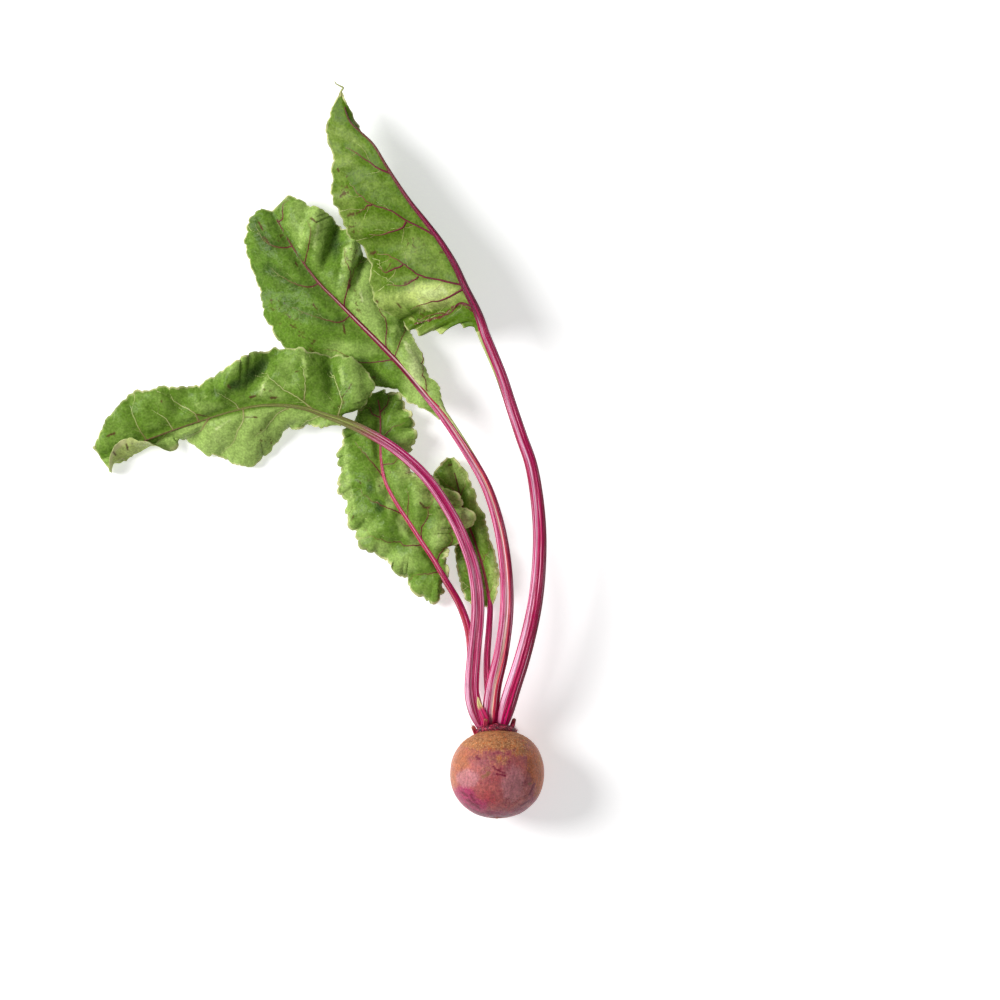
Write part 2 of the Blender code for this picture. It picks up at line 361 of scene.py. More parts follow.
# Leaves. Every blade has its midrib and its two edges, point for point from base to tip.
# upper is 1 where the leaf's upper side faces up. ruffle, quilt and veinSize are in mm.
# A fold runs from near the midrib to the edge: from, to, half width and height in mm.
# A roll turns an edge over: side, middle, spread, angle, radius and flap in mm.
# A frill is a wavy stretch of edge: side, from, to, waves, height in mm.
# A mark is a brown stroke: from, to, half width in grid steps.
# A crease is a pale crinkled ridge: from, to, half width in grid steps.
# A painted highlight is a paler streak painted along a ridge where light catches it: from, to, half width in
# grid steps.
# A wing is a pale ridge down the stem: side, length as a share of the midrib, then how far
# aside and its radius in mm.
# ribValley is how high and how far out from the midrib, in mm, each side of a blade rises.
# A painted light-and-tone area is lighter or darker, mostly painted light and shade on folds and ridges,
# partly the leaf's own tone: centre, reach across and down in grid steps, amount.
# A vein is a list of grid points, and more veins grow by rule from the starts.
leaves = {
    "left": {
        "stem": [
            (480.7, 725, 19), (475.5, 710, 22), (472, 690, 24), (474, 655, 25), (478, 610, 25.5),
            (475, 575, 25.5), (466, 545, 25), (450, 512, 24), (425, 476, 23), (395, 449, 22),
            (365, 431, 20.5),
        ],
        "midrib": [
            (340, 420, 19), (325, 415, 18.5), (304, 408, 18), (280, 405, 17.5), (255, 406, 16.5),
            (228, 412, 15), (202, 420, 13), (172, 430, 10.5), (142, 441, 7), (115, 452, 4),
            (98, 458, 2),
        ],
        "leftEdge": [
            (341, 426, 18), (322, 424, 15), (304, 423, 10.5), (284, 429, 6), (262, 450, 2),
            (238, 463, 0.6), (207, 450, 1.5), (174, 436, 4), (143, 446, 1.5), (118, 461, 0.9),
            (103, 464, 0.8),
        ],
        "rightEdge": [
            (343, 413, 18.5), (370, 394, 17.5), (362, 366, 15.5), (322, 354, 14.5), (268, 350, 15),
            (228, 369, 15.5), (196, 385, 14.5), (160, 387, 12), (126, 399, 9), (103, 428, 5),
            (95, 450, 2),
        ],
        "upper": 1, "ruffle": 1.6, "waves": 8, "ribValley": {"left": (1.0, 5), "right": (2.0, 6)},
        "quilt": 1.1, "seed": 1, "ragged": 1.5, "veinSize": 0.56,
        "folds": [
            ((332, 410), (330, 357), 4.2, -4.0), ((306, 404), (303, 355), 5.0, 2.6),
            ((238, 404), (272, 355), 5.0, -4.2), ((212, 409), (240, 362), 4.5, 3.2),
            ((168, 427), (190, 388), 5.0, -2.4), ((354, 408), (355, 366), 5.0, 2.4),
            ((262, 408), (250, 457), 9.0, 2.2), ((205, 422), (192, 447), 4.0, -2.0),
        ],
        "rolls": [("left", 0.83, 0.12, 166, 1.1, 14.5)],
        "marks": [
            ((250, 397), (255, 396), 1.2), ((271, 398), (278, 397), 1.2),
            ((196, 414), (207, 416), 0.8), ((347, 392), (352, 384), 0.7),
            ((342, 398), (345, 394), 0.7), ((244, 417), (256, 417), 0.8),
            ((105, 436), (113, 433), 1.2), ((112, 452), (114, 455), 1.0),
            ((125, 444), (126, 449), 0.8), ((160, 400), (162, 402), 0.9),
            ((228, 385), (230, 388), 0.9), ((296, 372), (299, 371), 0.9),
        ],
        "paintedHighlights": [
            ((270, 364), (266, 380), 2.6), ((266, 380), (261, 394), 2.2),
            ((303, 358), (306, 376), 2.0), ((340, 366), (343, 384), 2.4),
            ((206, 396), (196, 404), 1.6), ((230, 420), (216, 428), 1.6),
        ],
        "margin": 1.3,
        "paintedLightAndTone": [
            ((262, 363), (9, 8), -0.45), ((248, 374), (10, 9), -0.55), ((233, 385), (12, 9), -0.65),
            ((216, 394), (12, 7), -0.35), ((268, 386), (13, 9), 0.25), ((312, 366), (12, 16), -0.15),
            ((215, 438), (60, 18), 0.15), ((190, 408), (22, 9), 0.15), ((285, 390), (16, 10), 0.12),
        ],
        "veins": {
            "right": [
                [(315, 411), (302, 400), (284, 390), (273, 380), (261, 372)],
                [(304, 400), (306, 382), (300, 368)], [(239, 408), (236, 403), (217, 393)],
                [(198, 420), (193, 412), (177, 403), (170, 395)],
                [(172, 429), (165, 418), (152, 410)], [(144, 438), (135, 419), (130, 406)],
                [(338, 416), (342, 402), (337, 386), (330, 371)],
            ],
            "left": [[(288, 408), (268, 422), (252, 434)]],
        },
        "starts": {"left": (0.1, 0.44, 0.58, 0.72, 0.84), "right": ()},
        "tone": 0.58, "paintedSideLight": {"left": 0.34, "right": 0.0}, "veinRedness": 0.35,
        "rows": 230, "columns": 150,
    },
    "middle": {
        "stem": [
            (490.8, 723, 21.4), (491, 708, 25), (494, 685, 27.5), (501, 655, 29), (506, 620, 29.5),
            (507, 588, 29.5), (504, 552, 29), (497, 517, 28), (485, 483, 26.5), (466, 450, 24.5),
        ],
        "midrib": [
            (443, 416, 22), (425, 394, 20.5), (404, 369, 18.8), (382, 346, 17.2), (360, 324, 16),
            (338, 302, 15), (320, 284, 14), (305, 265, 13), (292, 246, 11.5), (281, 227, 10),
            (271, 210, 8),
        ],
        "leftEdge": [
            (439, 420, 21), (420, 401, 15), (396, 386, 8), (365, 374, 3.5), (328, 365, 1.5),
            (292, 349, 0.8), (271, 319, 0.6), (260, 287, 0.6), (250, 256, 0.6), (250, 228, 1.2),
            (262, 207, 5),
        ],
        "rightEdge": [
            (448, 418, 21.5), (438, 402, 19.5), (428, 382, 17), (415, 353, 13), (402, 323, 9),
            (388, 295, 7), (371, 268, 6), (354, 244, 7), (336, 223, 9), (313, 210, 9.5),
            (287, 198, 7.5),
        ],
        "upper": 1, "ruffle": 1.2, "waves": 7, "ribValley": {"left": (2.4, 6), "right": (3.8, 7)},
        "quilt": 1.0, "seed": 2, "ragged": 1.2, "veinSize": 0.54,
        "folds": [
            ((302, 264), (316, 212), 4.0, 3.2), ((319, 284), (338, 224), 4.0, -4.4),
            ((343, 306), (348, 240), 3.4, 3.4), ((352, 300), (361, 252), 2.4, -2.4),
            ((330, 300), (262, 286), 6.0, -1.6), ((350, 330), (270, 312), 7.0, 1.4),
            ((290, 240), (254, 236), 5.0, 1.2),
        ],
        "marks": [
            ((258, 221), (262, 229), 1.1), ((263, 236), (268, 241), 1.1),
            ((313, 304), (317, 309), 1.0), ((343, 325), (345, 333), 1.3),
            ((311, 218), (316, 222), 1.3), ((295, 262), (297, 266), 0.8),
        ],
        "wings": [(1, 0.26, 2.0, 1.1)],
        "paintedHighlights": [
            ((303, 220), (300, 246), 2.4), ((318, 226), (314, 248), 2.2),
            ((346, 248), (341, 276), 2.4), ((376, 300), (392, 330), 3.2),
            ((396, 326), (410, 352), 2.6), ((356, 278), (362, 300), 1.8),
        ],
        "margin": 0.9,
        "paintedLightAndTone": [
            ((335, 348), (16, 9), 0.30), ((336, 248), (7, 26), -0.40), ((351, 252), (9, 9), 0.30),
            ((368, 302), (16, 28), 0.46), ((418, 368), (14, 42), 0.85), ((441, 408), (8, 14), 0.6),
            ((300, 318), (30, 16), -0.10), ((352, 352), (34, 12), 0.30), ((268, 236), (12, 14), -0.10),
            ((262, 262), (12, 30), -0.12), ((378, 338), (14, 14), 0.15),
        ],
        "veins": {
            "left": [
                [(291, 246), (281, 247), (268, 240), (258, 222)],
                [(319, 284), (307, 286), (289, 280), (272, 266)],
                [(351, 316), (338, 321), (319, 316), (286, 301)],
                [(396, 362), (369, 360), (345, 352), (318, 345)],
            ],
            "right": [
                [(306, 262), (310, 236), (307, 222)],
                [(346, 308), (347, 280), (342, 260), (341, 246)],
                [(347, 290), (351, 271), (362, 258)],
                [(390, 353), (384, 327), (377, 311), (372, 290)],
                [(395, 357), (401, 335), (398, 316)], [(427, 392), (418, 367), (417, 355)],
            ],
        },
        "starts": {"left": (), "right": (0.93,)},
        "tone": 0.46, "paintedSideLight": {"left": -0.06, "right": 0.22}, "veinRedness": 1.05,
        "rows": 230, "columns": 150,
    },
    "right": {
        "stem": [
            (502.8, 723.6, 20.9), (506.2, 710, 25.8), (512, 690, 30), (521, 662, 32.5), (529, 632, 34),
            (535, 602, 35.5), (538.5, 570, 36.5), (539.5, 535, 37), (537, 500, 37.5), (531, 465, 38),
            (521, 436, 38), (511, 406, 38), (501, 375, 38),
        ],
        "midrib": [
            (486, 338, 38), (481.5, 324, 38), (476, 310, 38), (466, 290, 37.5), (455, 266, 37),
            (441, 243, 36.3), (426, 223, 35.5), (411, 204, 34.5), (398, 185, 33.3), (386, 166, 32),
            (374, 146, 30), (361, 133, 28), (349, 120, 26.5), (341, 93, 24),
        ],
        "leftEdge": [
            (482, 340, 37), (464, 327, 32), (430, 335, 24), (405, 330, 18), (381, 311, 16),
            (370, 285, 15.5), (366, 256, 15.5), (350, 239, 16.5), (336, 212, 18), (327, 186, 19.5),
            (332, 158, 21), (327, 136, 22), (327, 118, 23), (339.5, 93, 24),
        ],
        "rightEdge": [
            (489, 337, 36), (482, 325, 28), (474, 312, 18), (464, 293, 5), (450, 269, 1),
            (435, 247, 0.5), (419, 228, 0.5), (404, 209, 0.8), (391, 190, 2), (380, 170, 5),
            (372, 148, 12), (366, 136, 20), (355, 120, 24), (342.5, 93, 24.3),
        ],
        "upper": -1, "ruffle": 1.3, "waves": 9, "ribValley": {"left": (0.6, 5), "right": (0.6, 5)},
        "quilt": 0.75, "seed": 3, "ragged": 1.3, "veinSize": 0.62,
        "folds": [
            ((470, 302), (412, 322), 4.0, -3.0), ((466, 288), (398, 296), 5.0, 2.4),
            ((380, 160), (345, 176), 6.0, -1.2), ((420, 232), (372, 262), 6.0, -1.2),
        ],
        "frills": [("left", 0.06, 0.25, 3.5, 2.6)],
        "marks": [
            ((357, 213), (361, 211), 1.3), ((348, 215), (353, 214), 1.6),
            ((341, 196), (345, 193), 1.3), ((371, 254), (375, 252), 1.6),
            ((387, 270), (391, 264), 1.0), ((405, 284), (412, 281), 1.1),
            ((376, 300), (378, 302), 1.2), ((397, 303), (401, 307), 1.0),
            ((338, 169), (339, 171), 0.9),
        ],
        "wings": [(-1, 0.13, 2.7, 1.15)],
        "paintedHighlights": [
            ((420, 300), (429, 309), 3.0), ((441, 288), (450, 297), 2.4),
            ((411, 318), (418, 323), 1.6), ((439, 333), (452, 334), 1.2),
            ((392, 290), (398, 296), 1.6),
        ],
        "margin": 1.2,
        "creases": [
            ((412, 325), (426, 323), 1.1), ((426, 323), (441, 318), 1.3), ((441, 318), (452, 308), 1.3),
            ((452, 308), (462, 305), 1.2), ((462, 305), (476, 314), 1.0),
        ],
        "paintedLightAndTone": [
            ((436, 297), (24, 12), 0.90), ((458, 330), (16, 8), -0.45), ((385, 215), (22, 26), -0.08),
            ((362, 250), (12, 30), -0.08), ((452, 318), (16, 7), -0.30), ((444, 332), (10, 4), 0.7),
            ((352, 150), (10, 16), 0.10), ((366, 268), (8, 14), 0.15),
        ],
        "veins": {
            "left": [
                [(391, 175), (377, 168), (364, 160), (345, 148)],
                [(437, 238), (420, 228), (407, 222), (393, 213), (373, 205), (361, 197), (349, 184)],
                [(407, 223), (400, 230), (382, 236), (368, 235)], [(372, 205), (360, 212)],
                [(463, 288), (445, 282), (420, 276), (400, 263), (391, 259), (375, 254)],
                [(402, 265), (388, 272), (378, 268)], [(418, 277), (409, 284), (386, 285)],
                [(462, 292), (440, 301), (429, 303), (409, 310)],
                [(474, 311), (460, 304), (448, 316), (431, 316), (415, 323)],
            ],
            "right": [],
        },
        "starts": {"left": (), "right": (0.05, 0.18, 0.32, 0.45, 0.58, 0.7, 0.82)},
        "tone": 0.49, "paintedSideLight": {"left": 0.0, "right": 0.0}, "veinRedness": 1.25,
        "rows": 236, "columns": 156,
    },
    "low": {
        "stem": [
            (484.5, 732.6, 10.4), (479, 712, 7.5), (474, 690, 5), (472, 665, 3.6), (470, 640, 3.4),
            (466, 622, 3.8), (458, 602, 5.5),
        ],
        "midrib": [
            (445, 580, 9), (434, 561, 10), (421, 541, 10.8), (408, 521, 11.3), (395, 501, 11.5),
            (385, 481, 11), (381, 461, 10), (380, 442, 8.5), (380, 424, 7), (379, 407, 5.5),
            (375, 392, 4),
        ],
        "leftEdge": [
            (441, 584, 8), (436, 600, 3), (412, 588, 1.2), (398, 566, 1.5), (368, 545, 1),
            (352, 519, 0.7), (343, 490, 0.6), (339, 462, 0.6), (346, 438, 1.2), (362, 414, 3),
            (368, 394, 3.5),
        ],
        "rightEdge": [
            (449, 577, 9), (447, 556, 9), (456, 540, 9.5), (469, 522, 10), (460, 503, 10.5),
            (436, 487, 10.5), (405, 473, 10), (411, 443, 8.5), (411, 425, 6.5), (402, 405, 5),
            (384, 389, 4),
        ],
        "upper": 1, "ruffle": 2.6, "waves": 10, "ribValley": {"left": (2.0, 5), "right": (2.4, 6)},
        "quilt": 1.7, "seed": 4, "ragged": 2.1, "veinSize": 0.56,
        "folds": [
            ((402, 520), (362, 536), 5.0, 1.6), ((398, 492), (438, 492), 4.0, 1.4),
            ((388, 482), (350, 470), 5.0, -2.0), ((430, 548), (462, 520), 4.0, 1.4),
        ],
        "marks": [
            ((420, 503), (424, 507), 1.6), ((424, 507), (430, 508), 1.0),
            ((357, 480), (360, 483), 0.8),
        ],
        "paintedHighlights": [
            ((405, 470), (418, 478), 1.6), ((425, 492), (440, 494), 2.0),
            ((346, 446), (345, 470), 2.0), ((347, 478), (354, 512), 2.2),
            ((444, 520), (437, 544), 1.8), ((452, 514), (446, 530), 1.4),
        ],
        "margin": 2.0,
        "paintedLightAndTone": [
            ((345, 500), (6, 40), 0.45), ((420, 474), (16, 6), 0.5), ((467, 518), (8, 18), 0.6),
            ((379, 484), (4.5, 8), 0.70), ((389, 503), (5, 9), 0.85), ((402, 523), (6, 9), 0.85),
            ((415, 543), (6, 8), 0.60), ((370, 487), (6, 9), -0.55), ((380, 507), (7, 9), -0.55),
            ((392, 528), (7, 8), -0.45), ((362, 532), (9, 7), 0.40), ((381, 547), (10, 7), 0.40),
            ((402, 560), (10, 7), 0.35), ((428, 498), (14, 8), 0.40), ((439, 536), (9, 14), 0.45),
            ((405, 458), (6, 14), 0.40), ((455, 510), (12, 12), 0.30), ((384, 412), (24, 18), -0.24),
            ((400, 572), (22, 12), 0.15),
        ],
        "veins": {
            "left": [
                [(404, 516), (388, 508), (372, 500), (356, 486)],
                [(424, 548), (404, 544), (384, 537), (364, 528)],
                [(384, 480), (374, 464), (362, 450), (354, 440)], [(438, 572), (422, 574), (408, 580)],
            ],
            "right": [
                [(407, 520), (409, 502), (407, 488)], [(422, 542), (425, 522), (428, 508), (431, 496)],
                [(438, 567), (442, 548), (447, 533), (449, 518)], [(383, 466), (396, 462), (407, 455)],
                [(381, 440), (392, 428), (404, 424)],
            ],
        },
        "starts": {"left": (0.85,), "right": (0.88,)},
        "tone": 0.54, "paintedSideLight": {"left": 0.0, "right": 0.14}, "veinRedness": 1.1,
        "rows": 176, "columns": 124,
    },
    "inner": {
        "stem": [(496.5, 731, 8.2), (492, 714, 5), (488, 690, 3.4), (487, 660, 3), (489, 630, 3)],
        "midrib": [
            (490, 606, 4), (487, 586, 4), (482, 564, 3.8), (475, 542, 3.6), (467, 520, 3.5),
            (461, 500, 3.5), (456, 479, 3.7), (450, 458, 4.2),
        ],
        "leftEdge": [
            (487, 608, 4.5), (467, 600, 3.2), (459, 574, 2.2), (455, 547, 1.8), (445, 524, 1.5),
            (437, 499, 1.5), (435, 474, 2), (446, 457, 4),
        ],
        "rightEdge": [
            (493, 605, 4.5), (500, 588, 6.5), (499, 566, 7), (491, 541, 6.5), (483, 515, 6),
            (474, 494, 5.5), (467, 473, 5.5), (454, 457, 4.5),
        ],
        "upper": 1, "ruffle": 1.2, "waves": 6, "ribValley": {"left": (1.6, 4), "right": (1.6, 4)},
        "quilt": 1.1, "seed": 5, "ragged": 1.0, "veinSize": 0.42,
        "paintedHighlights": [((497, 560), (494, 590), 1.6), ((462, 474), (470, 496), 1.4)],
        "margin": 1.3,
        "paintedLightAndTone": [
            ((455, 474), (14, 18), 0.40), ((497, 572), (6, 24), 0.5), ((478, 505), (6, 16), 0.3),
        ],
        "veins": {"left": [], "right": []},
        "starts": {"left": (0.12, 0.34, 0.56, 0.76), "right": (0.08, 0.3, 0.52, 0.74)},
        "tone": 0.44, "paintedSideLight": {"left": 0.0, "right": 0.2}, "veinRedness": 0.8,
        "rows": 130, "columns": 84,
    },
}
for leaf in leaves.values():
    for key in ("folds", "rolls", "frills", "marks", "wings", "creases"):
        leaf.setdefault(key, [])
bladeMesh = {
    "thickness": 0.00045, "thinEdge": 0.5, "veinSides": 7, "usualLength": 0.13, "puffReach": 3.2,
    "softLanding": 0.0012, "landsBelow": 0.012, "landingReach": 0.004,
}


def midribPlaces(leaf, amounts):
    # the midrib runs on from the stem as one curve
    places = fromGrid(leaf["stem"] + leaf["midrib"])
    first = len(leaf["stem"])
    last = len(places) - 1
    return splineAt(places, (first + amounts * (last - first)) / last)


def rolledProfile(steps, wide, turn, radius, flap):
    # across the leaf: flat to the roll, then an arc up and over, then the flap
    flat = wide - radius * np.sin(np.minimum(turn, math.pi / 2))
    total = flat + radius * turn + flap
    run = steps[None, :] * total[:, None]
    bend = np.clip((run - flat[:, None]) / radius, 0, turn[:, None])
    rest = np.maximum(run - (flat + radius * turn)[:, None], 0)
    out = np.minimum(run, flat[:, None]) + radius * np.sin(bend) + rest * np.cos(turn)[:, None]
    lift = radius * (1 - np.cos(bend)) + rest * np.sin(turn)[:, None]
    return out, lift


def bladeBase(leaf):
    # the smooth middle surface with its rolled edges, before any folds or ruffles
    along = np.linspace(0, 1, leaf["rows"] + 1)
    across = np.linspace(-1, 1, leaf["columns"] + 1)
    middle = midribPlaces(leaf, along)
    surface = np.empty((len(along), len(across), 3))
    width = np.empty(surface.shape[:2])
    tangent = np.gradient(middle, axis=0)
    for side, sign in (("left", -1), ("right", 1)):
        half = across * sign >= 0
        reach = np.abs(across[half])
        edge = splineAt(fromGrid(leaf[side + "Edge"]), along)
        way = edge - middle
        wide = np.linalg.norm(way, axis=1)
        way = way / np.maximum(wide, 1e-9)[:, None]
        line = np.cumsum(np.linalg.norm(np.diff(edge, axis=0, prepend=edge[:1]), axis=1))
        scallop = 0.0008 * softNoise(line, 0.0065, leaf["seed"] + sign)
        scallop += 0.0006 * softNoise(line, 0.0023, leaf["seed"])
        scallop += 0.0004 * softNoise(line, 0.0013, leaf["seed"] + 2)
        wide = np.maximum(wide + scallop * leaf["ragged"] * smoothStep(0.02, 0.12, along), 0.0004)
        turn = np.zeros(len(along))
        flap = np.zeros(len(along))
        radius = 0.001
        for rollSide, where, spread, angle, rollRadius, rollFlap in leaf["rolls"]:
            if rollSide == side:
                share = np.exp(-((along - where) / spread) ** 4)
                turn += math.radians(angle) * share
                flap += rollFlap * 0.001 * share
                radius = rollRadius * 0.001
        out, lift = rolledProfile(reach, wide, turn, radius, flap)
        upward = np.cross(tangent, way)
        upward *= np.where(upward[:, 2] < 0, -1, 1)[:, None]
        upward /= np.maximum(np.linalg.norm(upward, axis=1), 1e-12)[:, None]
        spread = way[:, None] * out[:, :, None] + upward[:, None] * lift[:, :, None]
        surface[:, half] = middle[:, None] + spread
        surface[:, half, 2] += 0.06 * wide[:, None] * np.sin(math.pi * reach)
        width[:, half] = wide[:, None]
    return along, across, surface, width


def gridVein(leaf, vein, side, surface, across):
    # a vein's grid points, moved to the nearest rows and columns of the blade
    half = np.where(across <= 0 if side == "left" else across >= 0)[0]
    seen = surface[:, half, :2]
    spots = []
    for point in fromGrid([(x, y, 0) for x, y in vein])[:, :2]:
        gap = np.linalg.norm(seen - point, axis=2)
        row, column = np.unravel_index(np.argmin(gap), gap.shape)
        spots.append((row, half[column]))
    spots = np.array(spots, float)
    if abs(spots[0, 1] - leaf["columns"] / 2) < 9:
        spots[0, 1] = leaf["columns"] / 2
    return spots


def grownVein(leaf, start, side):
    # a side vein that leaves the midrib and bends towards the tip
    reach = np.linspace(0, 0.9, 6)
    lean = 0.13 * reach ** 1.3 + 0.012 * softNoise(reach * 7 + 9 * start, 1.0, leaf["seed"])
    row = np.clip(start + lean, 0, 0.985) * leaf["rows"]
    sign = -1 if side == "left" else 1
    return np.stack([row, (1 + sign * reach) * leaf["columns"] / 2], axis=1)


def branchVeins(line, seed, count):
    # fine veins that leave a side vein by turns and bend along with it
    made = []
    for number in range(count):
        share = 0.2 + 0.62 * number / max(count - 1, 1)
        start, ahead = splineAt(line, np.array([share, min(share + 0.06, 1)]))
        angle = math.atan2(ahead[1] - start[1], ahead[0] - start[0])
        turn = (1 if number % 2 else -1) * (0.65 + 0.15 * math.sin(seed * 3 + number * 5))
        length = (30 - 14 * share) * (0.85 + 0.3 * math.sin(seed * 2 + number * 2.3))
        steps = angle + turn * (1 - 0.7 * np.linspace(0, 1, 5))
        moves = np.stack([np.cos(steps), 1.3 * np.sin(steps)], axis=1) * length / 5
        made.append(np.vstack([start, start + np.cumsum(moves, axis=0)]))
    return made


def allVeins(leaf, surface, across):
    # each vein: rows and columns, then its radius in mm and its redness from start to end
    middle = leaf["columns"] / 2
    veins = []
    for side in ("left", "right"):
        mains = [gridVein(leaf, vein, side, surface, across) for vein in leaf["veins"][side]]
        mains += [grownVein(leaf, start, side) for start in leaf["starts"][side]]
        for number, line in enumerate(mains):
            size = leaf["veinSize"] * (1.0 if len(line) > 3 else 0.82)
            veins.append((line, 40, size, 0.26, 1.0, 0.25))
            for branch in branchVeins(line, leaf["seed"] + number, 3 if len(line) > 3 else 2):
                veins.append((branch, 14, 0.27, 0.228, 0.3, 0.1))
    made = []
    for line, count, first, last, red, faded in veins:
        amounts = np.linspace(0, 1, count)
        spots = splineAt(line, amounts)
        spots[:, 0] += 0.5 * softNoise(amounts, 0.16, leaf["seed"] + first)
        side = 1 if line[-1, 1] > middle else -1
        spots[:, 0] = np.clip(spots[:, 0], 1, leaf["rows"] - 1)
        spots[:, 1] = middle + side * np.clip(side * (spots[:, 1] - middle), 0, middle - 1.5)
        ease = amounts ** 0.8
        radii = first + (last - first) * ease
        made.append((spots, radii, red + (faded - red) * ease))
    return made


def lightAndToneField(paintedLightAndTone, places):
    # lighter and darker areas, mostly painted light and shade, partly the leaf's own tone: centre, reach
    # across and down in grid steps, amount
    field = np.zeros(len(places))
    for centre, (wide, tall), amount in paintedLightAndTone:
        spot = fromGrid([(*centre, 0)])[0, :2]
        off = (places[:, :2] - spot) / (np.array([wide, tall]) * gridStep)
        field += amount * np.exp(-(off ** 2).sum(axis=1))
    return field


def sampleGrid(grid, spots):
    # values of a rows by columns grid at fractional rows and columns
    low = np.floor(spots).astype(int)
    low = np.minimum(low, np.array(grid.shape[:2]) - 2)
    part = spots - low
    row, column = low[:, 0], low[:, 1]
    down = part[:, :1]
    over = part[:, 1:]
    first = grid[row, column] * (1 - over) + grid[row, column + 1] * over
    second = grid[row + 1, column] * (1 - over) + grid[row + 1, column + 1] * over
    return first * (1 - down) + second * down


def veinDistance(veins, surface):
    # the distance in mm to the nearest side vein, and a soft band along every vein
    nearest = np.full(surface.shape[:2], 30.0)
    band = np.zeros(surface.shape[:2])
    for spots, radii, red in veins:
        rowRange = slice(max(int(spots[:, 0].min()) - 20, 0), int(spots[:, 0].max()) + 22)
        columnRange = slice(max(int(spots[:, 1].min()) - 26, 0), int(spots[:, 1].max()) + 28)
        patch = surface[rowRange, columnRange]
        centres = sampleGrid(surface, spots)
        gap = np.linalg.norm(patch[:, :, None, :] - centres[None, None, :, :], axis=3) * 1000
        if len(spots) > 20:
            nearest[rowRange, columnRange] = np.minimum(nearest[rowRange, columnRange], gap.min(axis=2))
        near = (np.exp(-(gap / (1.6 * radii)[None, None, :]) ** 2) * red[None, None, :]).max(axis=2)
        band[rowRange, columnRange] = np.maximum(band[rowRange, columnRange], near)
    return nearest, band


def foldLift(leaf, surface):
    # long folds in mm, each along its line from near the midrib out to the edge
    lift = np.zeros(surface.shape[:2])
    for start, end, spread, height in leaf["folds"]:
        first, last = fromGrid([(*start, 0), (*end, 0)])[:, :2]
        length = np.linalg.norm(last - first)
        run = (last - first) / length
        off = surface[:, :, :2] - first
        share = off @ run / length
        aside = (off[:, :, 0] * run[1] - off[:, :, 1] * run[0]) * 1000
        wider = spread * (0.7 + 0.3 * np.clip(share, 0, 1.3))
        lift += height * np.exp(-(aside / wider) ** 2) * smoothStep(0, 0.5, share)
    return lift


def strokeField(strokes, places, seed):
    # 1 inside short strokes laid out on the grid, with ragged edges
    field = np.zeros(len(places))
    for start, end, half in strokes:
        first, last = fromGrid([(*start, 0), (*end, 0)])[:, :2]
        run = last - first
        share = np.clip((places[:, :2] - first) @ run / (run @ run), 0, 1)
        gap = np.linalg.norm(places[:, :2] - first - share[:, None] * run, axis=1) / (half * gridStep)
        rough = 0.5 * softNoise(places, 0.0012, seed) + 0.45 * softNoise(places, 0.0006, seed + 3)
        field = np.maximum(field, 1 - smoothStep(0.4, 1.2, gap + rough))
    return field


def tableLift(lowest):
    # where a leaf reaches the table it lies on it, softly
    soft = bladeMesh["softLanding"]
    raised = tableGap + soft * np.log1p(np.exp(np.clip((lowest - tableGap) / soft, -30, 30)))
    raised = np.where(lowest > bladeMesh["landsBelow"], lowest, raised)
    eased = soft * math.log(2) * np.exp(-np.abs(lowest) / bladeMesh["landingReach"]) * 0.6
    return np.maximum(raised - lowest - eased, tableGap - lowest)


def sheetFaces(rows, columns):
    # the faces of a sheet: its upper grid, its lower grid and the rim between them
    count = (rows + 1) * (columns + 1)
    line = columns + 1
    corner = (np.arange(rows)[:, None] * line + np.arange(columns)[None, :]).ravel()
    upFaces = np.stack([corner, corner + 1, corner + line + 1, corner + line], axis=1)
    downFaces = upFaces[:, ::-1] + count
    rim = np.concatenate([
        np.arange(columns), np.arange(rows) * line + columns,
        rows * line + np.arange(columns, 0, -1), np.arange(rows, 0, -1) * line])
    following = np.roll(rim, -1)
    rimFaces = np.stack([following, rim, rim + count, following + count], axis=1)
    return np.vstack([upFaces, downFaces, rimFaces]).tolist()


